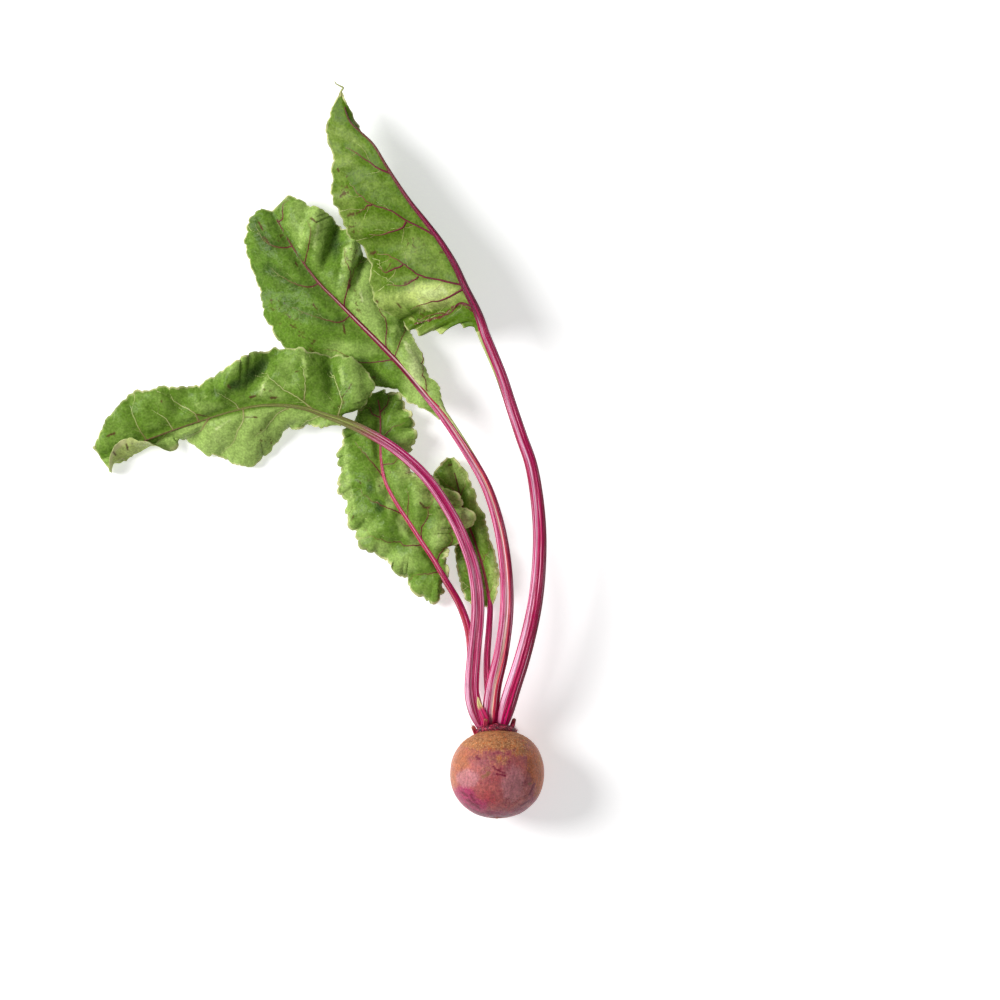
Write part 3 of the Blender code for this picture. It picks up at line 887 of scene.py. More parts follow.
def makeBlade(name, leaf, surfaceLook, veinLook):
    seed = leaf["seed"]
    upper = leaf["upper"]
    along, across, surface, width = bladeBase(leaf)
    veins = allVeins(leaf, surface, across)
    nearest, band = veinDistance(veins, surface)
    shape = surface.shape[:2]
    reach = np.broadcast_to(np.abs(across)[None, :], shape)
    length = bladeMesh["usualLength"]
    flat = np.stack(np.broadcast_arrays(along[:, None] * length, across[None, :] * width), axis=2)
    places = flat.reshape(-1, 2) + 0.3 * seed

    def lumps(size, extra):
        return softNoise(places, size, seed + extra).reshape(shape)

    # panels between the veins swell towards the leaf's upper side
    fromRib = reach * width * 1000
    panel = 1 - np.exp(-(np.minimum(nearest, fromRib) / bladeMesh["puffReach"]) ** 2)
    fade = smoothStep(0, 0.06, along)[:, None] * smoothStep(0, 0.2, reach)
    valley = np.zeros(shape)
    for side, here in (("left", across < 0), ("right", across >= 0)):
        height, spread = leaf["ribValley"][side]
        valley[:, here] = height * (1 - np.exp(-(fromRib[:, here] / spread) ** 2))
    pucker = 0.24 * lumps(0.0042, 0) + 0.08 * lumps(0.0021, 1) + 0.55 * lumps(0.011, 2)
    swell = (valley + leaf["quilt"] * (panel + 0.4 * pucker)) * fade
    # the edge ruffles, more on one stretch than on the next
    lean = along[:, None] - 0.10 * reach
    phase = 2 * math.pi * leaf["waves"] * lean + 1.4 * softNoise(lean.ravel(), 0.11, seed).reshape(shape)
    phase = phase + np.where(across < 0, 1.3, 0.0)[None, :]
    uneven = 0.65 + 0.45 * softNoise(lean.ravel(), 0.16, seed + 5).reshape(shape)
    frill = np.sin(phase) * uneven * leaf["ruffle"] * reach ** 2.4
    for side, start, end, waves, height in leaf["frills"]:
        share = (along - start) / (end - start)
        ends = smoothStep(-0.15, 0.1, share) * smoothStep(1.1, 0.8, share)
        wave = np.sin(2 * math.pi * waves * share) * ends
        here = (across < 0) if side == "left" else (across > 0)
        frill += height * wave[:, None] * reach ** 3 * here[None, :]
    crimp = 0.7 * leaf["ragged"] * lumps(0.0034, 7) * reach ** 7
    crease = strokeField(leaf["creases"], surface.reshape(-1, 3), seed).reshape(shape)
    folds = foldLift(leaf, surface)
    lift = upper * swell + frill * smoothStep(0, 0.1, along)[:, None] + crimp + folds
    lift = lift + crease * (0.8 + 0.9 * lumps(0.0028, 5))
    surface = surface + gridNormals(surface) * lift[:, :, None] * 0.001
    normals = gridNormals(surface)
    half = bladeMesh["thickness"] / 2 * (1 - bladeMesh["thinEdge"] * smoothStep(0.8, 1.0, reach))
    top = surface + normals * half[:, :, None]
    bottom = surface - normals * half[:, :, None]
    shift = tableLift(np.minimum(bottom[:, :, 2], top[:, :, 2]))
    top[:, :, 2] += shift
    bottom[:, :, 2] += shift
    faces = sheetFaces(leaf["rows"], leaf["columns"])
    everywhere = np.concatenate([top.reshape(-1, 3), bottom.reshape(-1, 3)])
    underSide = np.repeat([upper < 0, upper > 0], top.shape[0] * top.shape[1])
    margin = leaf["margin"]
    edge = smoothStep(margin, 0.35 * margin, (1 - reach) * width * 1000)
    edge = np.maximum(edge, smoothStep(0.99, 1.0, along)[:, None])
    edge = edge * (0.35 + 0.65 * smoothStep(-0.5, 0.4, lumps(0.004, 11)))
    # one half of the blade painted lighter or darker, as painted light and shade on that half
    paintedSideLight = np.where(across < 0, leaf["paintedSideLight"]["left"], leaf["paintedSideLight"]["right"])
    tone = leaf["tone"] + paintedSideLight[None, :] * smoothStep(0, 0.12, reach)
    # painted shade in the hollows along the veins and midrib, painted light on the swollen panels between
    # them
    tone = tone + 0.20 * (panel - 0.6) + 0.07 * lumps(0.024, 9)
    # painted light and shade: the listed lighter and darker areas, and painted shade in the fold valleys with
    # painted light on the fold ridges
    tone = tone + lightAndToneField(leaf["paintedLightAndTone"], surface.reshape(-1, 3)).reshape(shape) + 0.05 * folds
    # painted highlights: paler streaks along the ridges, broken up by lumps
    paintedHighlight = strokeField(leaf["paintedHighlights"], surface.reshape(-1, 3), seed).reshape(shape)
    tone = tone + paintedHighlight * (0.34 + 0.5 * lumps(0.0035, 6))
    mark = strokeField(leaf["marks"], surface.reshape(-1, 3), seed)
    fields = {"veinBand": band, "edge": edge, "tone": tone, "mark": mark, "crease": crease}
    fields = {field: np.tile(values.ravel(), 2) for field, values in fields.items()}
    fields["underSide"] = underSide.astype(float)
    blade = addObject(f"blade_{name}_ruffled", everywhere, faces, surfaceLook, fields)
    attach(blade, "root")
    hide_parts(f"blade_{name}")
    slot = "leaf" if upper > 0 else "leaf_underside"
    # the side veins lie in the blade and stand out more on its underside
    middle = (top + bottom) / 2
    paths = []
    for spots, radii, red in veins:
        line = sampleGrid(middle, spots)
        lineNormals = sampleGrid(normals, spots)
        line = line - upper * lineNormals * (0.4 * (radii[:, None] * 0.001 - half.max()))
        line[:, 2] = np.maximum(line[:, 2], radii * 0.001 + tableGap)
        paths.append((line, radii * 0.001, np.clip(red * leaf["veinRedness"], 0, 1)))
    # the blade runs on down the stem as a thin pale ridge on one side
    for sign, down, aside, size in leaf["wings"]:
        amounts = np.linspace(0.03, -down, 50)
        line = midribPlaces(leaf, amounts)
        run = np.gradient(line, axis=0)
        out = np.cross(run, (0, 0, 1))
        out = out / np.linalg.norm(out, axis=1, keepdims=True)
        line = line - sign * out * aside * 0.001 + np.array([0, 0, 0.0004])
        ease = np.linspace(0, 1, 50)
        paths.append((line, 0.001 * size * (1 - 0.75 * ease), 0.02 + 0.45 * ease ** 2))
    makeTubes(f"veins_{name}", paths, veinLook, slot, Sides=bladeMesh["veinSides"], **{"Rib Depth": 0.0})
    return blade


leafLook = {
    "deep": (0.046, 0.098, 0.018, 1), "green": (0.132, 0.250, 0.026, 1),
    "bright": (0.340, 0.500, 0.120, 1), "underGreen": (0.090, 0.180, 0.008, 1),
    "underBright": (0.500, 0.620, 0.170, 1), "veinRed": (0.150, 0.010, 0.028, 1),
    "veinBrown": (0.190, 0.095, 0.036, 1), "veinPale": (0.520, 0.580, 0.220, 1),
    "rim": (0.640, 0.650, 0.300, 1), "paintedHighlight": (0.640, 0.740, 0.330, 1),
    "brown": (0.090, 0.022, 0.018, 1), "ridge": (0.620, 0.400, 0.360, 1),
}


def leafMaterial(name, roughness, specular):
    material, tree, shader = newMaterial(name, roughness, specular)
    place = objectPlace(tree)
    patches = useGroup(tree, mottle, Place=place, Contrast=1.6)
    lines = mapRange(tree, cellEdges(tree, place, 300), 0.0, 0.16, 1.0, 0.0)
    puffs = mapRange(tree, cellEdges(tree, place, 210), 0.0, 0.6)
    under = attribute(tree, "underSide")
    level = calc(tree, "ADD", attribute(tree, "tone"), times(tree, patches["Broad"], 0.36))
    level = calc(tree, "SUBTRACT", level, 0.18)
    upperGreen = layered(
        tree, leafLook["deep"], (mapRange(tree, level, 0.0, 0.5), leafLook["green"]),
        (mapRange(tree, level, 0.5, 1.0), leafLook["bright"]))
    underLevel = mapRange(tree, level, 0.35, 1.10)
    underGreen = mixColour(tree, underLevel, leafLook["underGreen"], leafLook["underBright"])
    # past the usual range of tone the green turns towards a pale painted highlight colour
    green = layered(
        tree, upperGreen, (under, underGreen),
        (mapRange(tree, level, 1.05, 1.75, 0.0, 0.85), leafLook["paintedHighlight"]),
        (times(tree, lines, 0.06), leafLook["veinPale"]))
    green = tinted(tree, green, mapRange(tree, patches["Fine"], 0.32, 0.68, 0.70, 1.22))
    spots = useGroup(tree, blemish, Place=place, Spread=0.61)["Mask"]
    ridgeShare = mapRange(tree, patches["Fine"], 0.52, 0.66)
    ridge = mixColour(tree, ridgeShare, leafLook["veinRed"], leafLook["ridge"])
    colour = layered(
        tree, green,
        (times(tree, attribute(tree, "veinBand"), 0.30), leafLook["veinBrown"]),
        (times(tree, attribute(tree, "edge"), 0.95), leafLook["rim"]),
        (times(tree, spots, 0.6), leafLook["brown"]),
        (times(tree, attribute(tree, "mark"), 0.85), leafLook["brown"]),
        (mapRange(tree, attribute(tree, "crease"), 0.45, 0.9, 0.0, 0.8), ridge))
    height = calc(tree, "MULTIPLY_ADD", puffs, 0.55, times(tree, lines, -0.15))
    height = times(tree, height, mapRange(tree, under, 0.0, 1.0, 1.0, -0.5))
    height = calc(tree, "MULTIPLY_ADD", patches["Fine"], 0.45, height)
    gloss = mapRange(tree, patches["Fine"], 0.3, 0.7, roughness - 0.07, roughness + 0.08)
    finishSurface(tree, shader, colour, gloss, height, 0.00032)
    return material


def veinMaterial():
    material, tree, shader = newMaterial("leafVein", 0.45, 0.25)
    patches = useGroup(tree, mottle, Place=objectPlace(tree), Contrast=1.5)
    uneven = calc(tree, "SUBTRACT", patches["Broad"], 0.5)
    red = calc(tree, "MULTIPLY_ADD", uneven, 0.35, attribute(tree, "tone"))
    colour = layered(
        tree, leafLook["veinPale"], (mapRange(tree, red, 0.12, 0.45), leafLook["veinBrown"]),
        (mapRange(tree, red, 0.35, 0.75), leafLook["veinRed"]))
    colour = tinted(tree, colour, mapRange(tree, patches["Fine"], 0.3, 0.7, 0.8, 1.2))
    gloss = mapRange(tree, patches["Fine"], 0.3, 0.7, 0.38, 0.55)
    finishSurface(tree, shader, colour, gloss, patches["Fine"], 0.00015)
    return material


leafSurface = leafMaterial("leafGreen", 0.25, 0.06)
underSurface = leafMaterial("leafUnderside", 0.36, 0.07)
leafVein = veinMaterial()
for leafName, leaf in leaves.items():
    makeBlade(leafName, leaf, leafSurface if leaf["upper"] > 0 else underSurface, leafVein)
print("blades and veins made")


# Root: a turned body, crown towards +Y, with its skin's lumps, corky rings and a flat under it
root = {
    "width": 0.0499, "length": 0.0468, "crownWidth": 0.0205, "drop": math.radians(12),
    "tailWidth": 0.0020, "widest": 0.49, "rows": 176, "sides": 250, "seed": 8,
}
rootAxis = np.array([0, math.cos(root["drop"]), -math.sin(root["drop"])])
crownPlace = rootCentre + rootAxis * root["length"] * root["widest"]
rootLook = {
    "cork": (0.490, 0.195, 0.074, 1), "corkDark": (0.310, 0.105, 0.040, 1),
    "corkPale": (0.700, 0.380, 0.175, 1), "mauve": (0.395, 0.098, 0.112, 1),
    "pink": (0.480, 0.120, 0.110, 1), "wine": (0.250, 0.008, 0.055, 1),
    "salmon": (0.520, 0.168, 0.066, 1), "rust": (0.500, 0.115, 0.026, 1),
    "paintedReflection": (0.580, 0.240, 0.270, 1), "mark": (0.180, 0.004, 0.035, 1),
    "olive": (0.230, 0.125, 0.035, 1), "crimson": (0.450, 0.045, 0.060, 1),
    "purple": (0.420, 0.020, 0.120, 1),
}
# patches on the upper side: centre, reach across and down in grid steps, strength
rootPatches = {
    "cork": [
        ((478, 741), (22, 8), 0.9), ((505, 740), (30, 10), 1.0), ((540, 758), (6, 18), 0.5),
        ((500, 757), (14, 8), 0.55), ((487, 766), (9, 6), 0.45), ((520, 748), (14, 8), 0.7),
        ((536, 792), (4, 10), 0.5), ((498, 818), (26, 2.5), 0.7), ((452, 790), (5, 14), 0.4),
    ],
    "salmon": [
        ((458, 757), (13, 16), 1.0), ((452, 776), (7, 14), 0.8), ((474, 752), (14, 9), 0.6),
        ((533, 762), (9, 14), 0.6),
    ],
    "rust": [
        ((537, 760), (9, 20), 1.3), ((541, 782), (6, 14), 1.2), ((478, 748), (16, 6), 0.4),
        ((516, 752), (9, 5), 0.5),
    ],
    # painted reflections: a soft mauve sheen right of the middle, a pale highlight on the left and a faint
    # one above
    "paintedReflection": [((513, 782), (13, 18), 1.0), ((468, 776), (10, 8), 1.3), ((506, 765), (8, 5), 0.4)],
    "wine": [
        ((535, 797), (6, 9), 0.9), ((524, 810), (12, 5), 1.0), ((492, 814), (22, 5), 1.0),
        ((474, 803), (9, 7), 0.6),
    ],
    "purple": [
        ((464, 793), (12, 10), 1.0), ((474, 804), (15, 9), 0.95), ((470, 797), (5, 6), 1.3),
        ((492, 813), (20, 5), 0.8),
    ],
    "crimson": [((486, 797), (18, 13), 0.6), ((498, 777), (16, 8), 0.5), ((512, 808), (14, 8), 0.5)],
}
# strokes on the upper side of the root: from, to, half width in grid steps
rootMarks = [
    ((476.5, 755), (479.5, 756.5), 2.0), ((498, 767.5), (504, 770), 1.3), ((497, 771), (505, 773), 1.4),
    ((493, 764), (496, 767), 1.1), ((471, 793), (474, 798), 2.0), ((468, 798), (474, 803), 2.2),
    ((462, 790), (467, 794), 1.4), ((476, 803), (480, 808), 1.6), ((474, 809), (485, 815), 1.5),
    ((488, 811), (494, 816), 1.8), ((534, 782), (530, 792), 1.4), ((521, 804), (529, 799), 1.4),
    ((500, 816), (512, 814), 1.2), ((466, 803), (472, 809), 1.3),
]
oliveMarks = [((483, 774.5), (489, 770.5), 2.0), ((529, 782), (531, 781), 1.2)]


def rootRadius(amounts):
    upper = amounts < root["widest"]
    half = np.where(upper, root["widest"], 1 - root["widest"])
    offset = np.abs(amounts - root["widest"]) / half
    fullness = np.where(upper, 2.15, 2.05)
    inside = np.clip(1 - offset ** fullness, 0, 1)
    radii = root["width"] / 2 * inside ** (1 / fullness)
    return np.maximum(radii, np.where(upper, root["crownWidth"] / 2, root["tailWidth"] / 2))


def turnedBody(centre, axis, heights, radii, sides):
    # rings of points round an axis, and the faces that close them
    turns = np.linspace(0, 2 * math.pi, sides, endpoint=False)
    side = np.array([1.0, 0, 0])
    up = np.cross(side, axis)
    outward = side * np.cos(turns)[:, None] + up * np.sin(turns)[:, None]
    places = centre + axis * heights[:, None, None] + outward[None, :, :] * radii[:, None, None]
    rows = len(radii)
    ringStart = np.arange(rows - 1)[:, None] * sides
    here = np.arange(sides)[None, :]
    there = (here + 1) % sides
    nextStart = ringStart + sides
    quads = np.stack([ringStart + here, nextStart + here, nextStart + there, ringStart + there], axis=2)
    faces = quads.reshape(-1, 4).tolist()
    faces += [list(range(sides)), [(rows - 1) * sides + i for i in range(sides - 1, -1, -1)]]
    return places.reshape(-1, 3), faces


def makeRoot(material):
    seed = root["seed"]
    amounts = (1 - np.cos(math.pi * np.linspace(0, 1, root["rows"]))) / 2
    radii = rootRadius(amounts)
    heights = root["length"] * (root["widest"] - amounts)
    capShare = np.linspace(0.002, 0.97, 10)
    tailShare = np.array([0.9, 0.6, 0.3, 0.01])
    radii = np.concatenate([capShare * radii[0], radii, tailShare * radii[-1]])
    capHeights = heights[0] + 0.0006 * (1 - capShare ** 2)
    tailHeights = heights[-1] - 0.0004 * (1 - tailShare ** 2)
    heights = np.concatenate([capHeights, heights, tailHeights])
    places, faces = turnedBody(rootCentre, rootAxis, heights, radii, root["sides"])
    away = places - rootCentre
    away = away / np.linalg.norm(away, axis=1, keepdims=True)
    lumps = 0.50 * softNoise(places, 0.022, seed) + 0.20 * softNoise(places, 0.008, seed + 1)
    pits = 0.06 * softNoise(places, 0.0019, seed + 2) + 0.04 * softNoise(places, 0.0009, seed + 3)
    towardsCrown = ((places - rootCentre) @ rootAxis) * 1000
    wavering = 3 * softNoise(places, 0.007, seed + 4)
    rings = 0.10 * np.sin(towardsCrown * 4.2 + wavering) * smoothStep(4, 20, towardsCrown)
    # a shallow scar round the tail
    tailGap = np.linalg.norm(places - (rootCentre - rootAxis * root["length"] * 0.5), axis=1) * 1000
    scar = -0.25 * np.exp(-((tailGap - 3.2) / 1.1) ** 2)
    places = places + away * (lumps + pits + rings + scar - 0.2)[:, None] * 0.001
    places[:, 2] = np.maximum(places[:, 2], 0.0)
    broad = softNoise(places, 0.011, seed + 5)
    small = softNoise(places, 0.004, seed + 6)
    upperSide = smoothStep(-0.008, 0.006, places[:, 2] - rootCentre[2])
    lowerSide = 1 - upperSide
    spots = places[:, :2] / gridStep * np.array([1, -1]) + np.array(gridOrigin)
    fields = {}
    for kind, patches in rootPatches.items():
        field = np.zeros(len(places))
        for (across, down), (wide, tall), strength in patches:
            gap = ((spots[:, 0] - across) / wide) ** 2 + ((spots[:, 1] - down) / tall) ** 2
            field = np.maximum(field, strength * np.exp(-gap * 0.8 - 0.35 * small * np.minimum(gap, 1)))
        fields[kind] = field * upperSide
    # the side that lies down goes by rule: corky towards the crown, wine red towards the tail
    around = 4 * broad + 2.5 * small
    height = towardsCrown + around
    fields["cork"] += smoothStep(4, 15, height) * lowerSide + 0.5 * smoothStep(13, 22, height) * upperSide
    fields["wine"] += smoothStep(-4, -18, height) * 0.8 * lowerSide
    fields["salmon"] += smoothStep(0.1, 0.7, broad) * 0.6 * lowerSide
    fields["crimson"] += smoothStep(0.0, 0.6, -broad) * 0.6 * lowerSide
    fields["mark"] = strokeField(rootMarks, places, seed) * (places[:, 2] > rootCentre[2])
    fields["olive"] = strokeField(oliveMarks, places, seed) * (places[:, 2] > rootCentre[2])
    fields["hairy"] = smoothStep(4.2, 1.5, tailGap)
    made = addObject("root_skin", places, faces, material, fields)
    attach(made, "root")
    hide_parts("root")
    return made


def rootMaterial():
    material, tree, shader = newMaterial("beetSkin", 0.5, 0.24)
    place = objectPlace(tree)
    patches = useGroup(tree, mottle, Place=place, Contrast=1.8)
    freckle = noise(tree, place, 1350, 3, 0.7)
    coarse = noise(tree, place, 420, 4, 0.72)
    streaks = noise(tree, vectorMath(tree, "MULTIPLY", {0: place, 1: (1.0, 0.28, 0.6)}), 900, 3, 0.65)
    ragged = calc(tree, "ADD", times(tree, freckle, 0.30), times(tree, coarse, 0.45))
    ragged = calc(tree, "MULTIPLY_ADD", streaks, 0.25, ragged)
    offset = times(tree, calc(tree, "SUBTRACT", ragged, 0.5), 1.5)

    def broken(name, low=0.28, high=0.72):
        # a patch whose border breaks up into freckles
        return mapRange(tree, calc(tree, "ADD", attribute(tree, name), offset), low, high)

    skin = layered(
        tree, rootLook["mauve"], (mapRange(tree, patches["Broad"], 0.35, 0.65), rootLook["pink"]),
        (mapRange(tree, coarse, 0.44, 0.34, 0.0, 0.6), rootLook["wine"]))
    for kind, amount in (("crimson", 0.75), ("purple", 0.85), ("wine", 0.85)):
        skin = mixColour(tree, times(tree, broken(kind), amount), skin, rootLook[kind])
    skin = mixColour(tree, times(tree, broken("salmon", 0.20, 0.80), 0.85), skin, rootLook["salmon"])
    # painted reflections and rust laid over the skin
    for kind, amount in (("paintedReflection", 0.66), ("rust", 0.9)):
        skin = mixColour(tree, times(tree, broken(kind), amount), skin, rootLook[kind])
    corky = layered(
        tree, rootLook["corkDark"], (mapRange(tree, coarse, 0.38, 0.56), rootLook["cork"]),
        (mapRange(tree, freckle, 0.50, 0.64), rootLook["corkPale"]),
        (mapRange(tree, streaks, 0.55, 0.66, 0.0, 0.75), rootLook["rust"]),
        (mapRange(tree, patches["Broad"], 0.56, 0.74, 0.0, 0.5), rootLook["crimson"]))
    cork = broken("cork")
    # tan freckles over the bare skin
    bare = mapRange(tree, cork, 0.0, 0.5, 1.0, 0.0)
    tan = times(tree, mapRange(tree, freckle, 0.58, 0.66, 0.0, 0.28), bare)
    colour = layered(tree, skin, (cork, corky), (tan, rootLook["corkPale"]))
    colour = tinted(tree, colour, mapRange(tree, patches["Fine"], 0.32, 0.68, 0.76, 1.22))
    colour = tinted(tree, colour, mapRange(tree, streaks, 0.36, 0.62, 0.88, 1.10))
    for kind, amount in (("olive", 0.6), ("mark", 0.85)):
        colour = mixColour(tree, times(tree, attribute(tree, kind), amount), colour, rootLook[kind])
    height = calc(tree, "ADD", times(tree, coarse, 0.6), times(tree, freckle, 0.5))
    finishSurface(tree, shader, colour, mapRange(tree, cork, 0.0, 1.0, 0.31, 0.60), height, 0.0006)
    return material


rootPiece = makeRoot(rootMaterial())
print("root made")


# Stems: a ribbed tube along each path, running on under the blade as its midrib
# Radii are in mm. taper is how fast the midrib thins, fading how much its bands fade further up,
# and turn how far they shift to the right there.
stemMeasures = (
    "base", "full", "end", "tip", "taper", "runOn", "ribs", "channel", "pale",
    "fading", "ribStart", "turn")
stems = {
    "left": (2.7, 3.9, 2.3, 0.35, 3.4, 0.93, 8, 0.42, 1.0, 0.4, 0.12, 0.0),
    "middle": (2.8, 4.2, 2.2, 0.34, 1.7, 0.95, 9, 0.3, 0.8, 0.1, 0.02, 0.0),
    "right": (3.0, 4.2, 2.6, 0.32, 1.4, 0.96, 13, 0.08, 0.45, 0.1, 0.02, 0.13),
    "low": (2.2, 2.5, 1.75, 0.3, 1.3, 0.95, 7, 0.25, 0.7, 0.2, 0.02, 0.0),
    "inner": (1.9, 2.1, 1.5, 0.3, 1.5, 0.9, 7, 0.25, 0.2, 0.5, 0.02, 0.0),
}
stems = {name: dict(zip(stemMeasures, measures)) for name, measures in stems.items()}


def stemRadii(stem, amounts, bladeStart):
    # a swelling above the crown, an even run to the blade, then a taper along the midrib
    stage = np.interp(amounts, [0, 0.12 * bladeStart, bladeStart], [0, 1, 2])
    swell = stem["base"] + (stem["full"] - stem["base"]) * np.sin(np.clip(stage, 0, 1) * math.pi / 2)
    even = stem["full"] + (stem["end"] - stem["full"]) * np.clip(stage - 1, 0, 1)
    beyond = np.clip((amounts - bladeStart) / (1 - bladeStart), 0, 1)
    taper = stem["tip"] + (stem["end"] - stem["tip"]) * (1 - beyond) ** stem["taper"]
    return np.where(amounts > bladeStart, taper, np.where(stage < 1, swell, even)) * 0.001


def makeStem(name, leaf, stem, material):
    places = fromGrid(leaf["stem"] + leaf["midrib"])
    bladeStart = len(leaf["stem"]) / (len(places) - 1)
    stop = bladeStart + (1 - bladeStart) * stem["runOn"]
    amounts = np.linspace(0, stop, 240)
    line = splineAt(places, amounts)
    radii = stemRadii(stem, amounts, bladeStart)
    # past the blade's base the rib lies on the leaf's underside
    sink = smoothStep(bladeStart - 0.02, bladeStart + 0.1, amounts)
    line[:, 2] += (0.0002 - leaf["upper"] * radii * 0.35) * sink
    # the stem starts a little inside the crown
    inward = crownPlace - line[0]
    inward = inward / np.linalg.norm(inward)
    lead = line[0] + inward * np.linspace(0.004, 0.0005, 6)[:, None]
    line = np.vstack([lead, line])
    radii = np.concatenate([np.full(6, radii[0]), radii])
    asRib = smoothStep(bladeStart - stem["ribStart"], bladeStart - stem["ribStart"] + 0.12, amounts)
    asRib = np.concatenate([np.zeros(6), asRib])
    return makeTubes(
        f"stem_{name}_ribbed", [(line, radii, asRib)], material, "stem", f"stem_{name}",
        Ribs=stem["ribs"], Flatness=0.84, Seed=float(leaf["seed"]) * 3.1, Sides=64,
        **{"Channel Depth": stem["channel"]})


stemLook = {
    "deepRedAndShade": (0.170, 0.001, 0.025, 1), "crimson": (0.420, 0.003, 0.055, 1),
    "body": (0.820, 0.008, 0.170, 1), "pink": (0.880, 0.060, 0.270, 1),
    "orange": (0.850, 0.070, 0.070, 1), "base": (0.700, 0.006, 0.190, 1),
    "creamAndHighlight": (1.000, 0.760, 0.560, 1), "lilac": (0.960, 0.560, 0.740, 1),
    "violet": (0.400, 0.006, 0.140, 1), "dark": (0.270, 0.002, 0.040, 1),
}
# across each stem from its left side to its right side: the colours, darkening to deep red at the right side
# as painted shade, and the share of pale lines
stemBands = {
    "left": (
        (0.0, "crimson"), (0.12, "pink"), (0.46, "body"), (0.58, "deepRedAndShade"), (0.68, "deepRedAndShade"),
        (0.74, "pink"), (0.86, "body"), (1.0, "deepRedAndShade")),
    # the middle stem's cream streak is partly a painted highlight along its back
    "middle": (
        (0.0, "body"), (0.12, "pink"), (0.38, "body"), (0.44, "creamAndHighlight"), (0.60, "creamAndHighlight"),
        (0.66, "orange"), (0.80, "crimson"), (1.0, "deepRedAndShade")),
    "right": (
        (0.0, "crimson"), (0.08, "pink"), (0.16, "lilac"), (0.27, "lilac"), (0.34, "body"),
        (0.46, "crimson"), (0.60, "body"), (0.74, "crimson"), (1.0, "deepRedAndShade")),
    "low": (
        (0.0, "crimson"), (0.2, "orange"), (0.38, "orange"), (0.5, "crimson"), (0.62, "body"),
        (1.0, "deepRedAndShade")),
    "inner": ((0.0, "deepRedAndShade"), (0.3, "crimson"), (0.45, "body"), (0.6, "crimson"), (1.0, "deepRedAndShade")),
}
paleShares = {
    "left": ((0.0, 0.0), (0.16, 0.7), (0.45, 0.6), (0.56, 0.0), (0.70, 0.0), (0.80, 0.6), (1.0, 0.0)),
    "middle": ((0.0, 0.0), (0.14, 0.7), (0.46, 0.6), (0.58, 0.6), (0.68, 0.0), (0.86, 0.2), (1.0, 0.0)),
    "right": (
        (0.0, 0.0), (0.08, 0.9), (0.27, 1.0), (0.36, 0.2), (0.48, 0.1), (0.58, 0.5), (0.70, 0.1),
        (1.0, 0.0)),
    "low": ((0.0, 0.0), (0.25, 0.7), (0.5, 0.3), (0.7, 0.1), (1.0, 0.0)),
    "inner": ((0.0, 0.2), (0.2, 0.3), (0.5, 0.1), (1.0, 0.0)),
}
# the midrib under each blade: its middle, paler partly as a painted highlight on its round back, and its
# sides, darker partly as painted shade
ribLook = {
    "left": ((0.360, 0.460, 0.100, 1), (0.210, 0.250, 0.045, 1)),
    "middle": ((1.000, 0.700, 0.680, 1), (0.220, 0.002, 0.030, 1)),
    "right": ((0.400, 0.006, 0.085, 1), (0.150, 0.002, 0.028, 1)),
    "low": ((1.000, 0.320, 0.480, 1), (0.850, 0.060, 0.190, 1)),
    "inner": ((0.260, 0.030, 0.030, 1), (0.130, 0.020, 0.020, 1)),
}


def ramp(tree, amount, stops):
    node = tree.nodes.new("ShaderNodeValToRGB")
    made = node.color_ramp.elements
    for number, (spot, colour) in enumerate(stops):
        stop = made[number] if number < 2 else made.new(spot)
        stop.position = spot
        stop.color = colour
    feed(tree, node.inputs["Fac"], amount)
    return node.outputs["Color"]


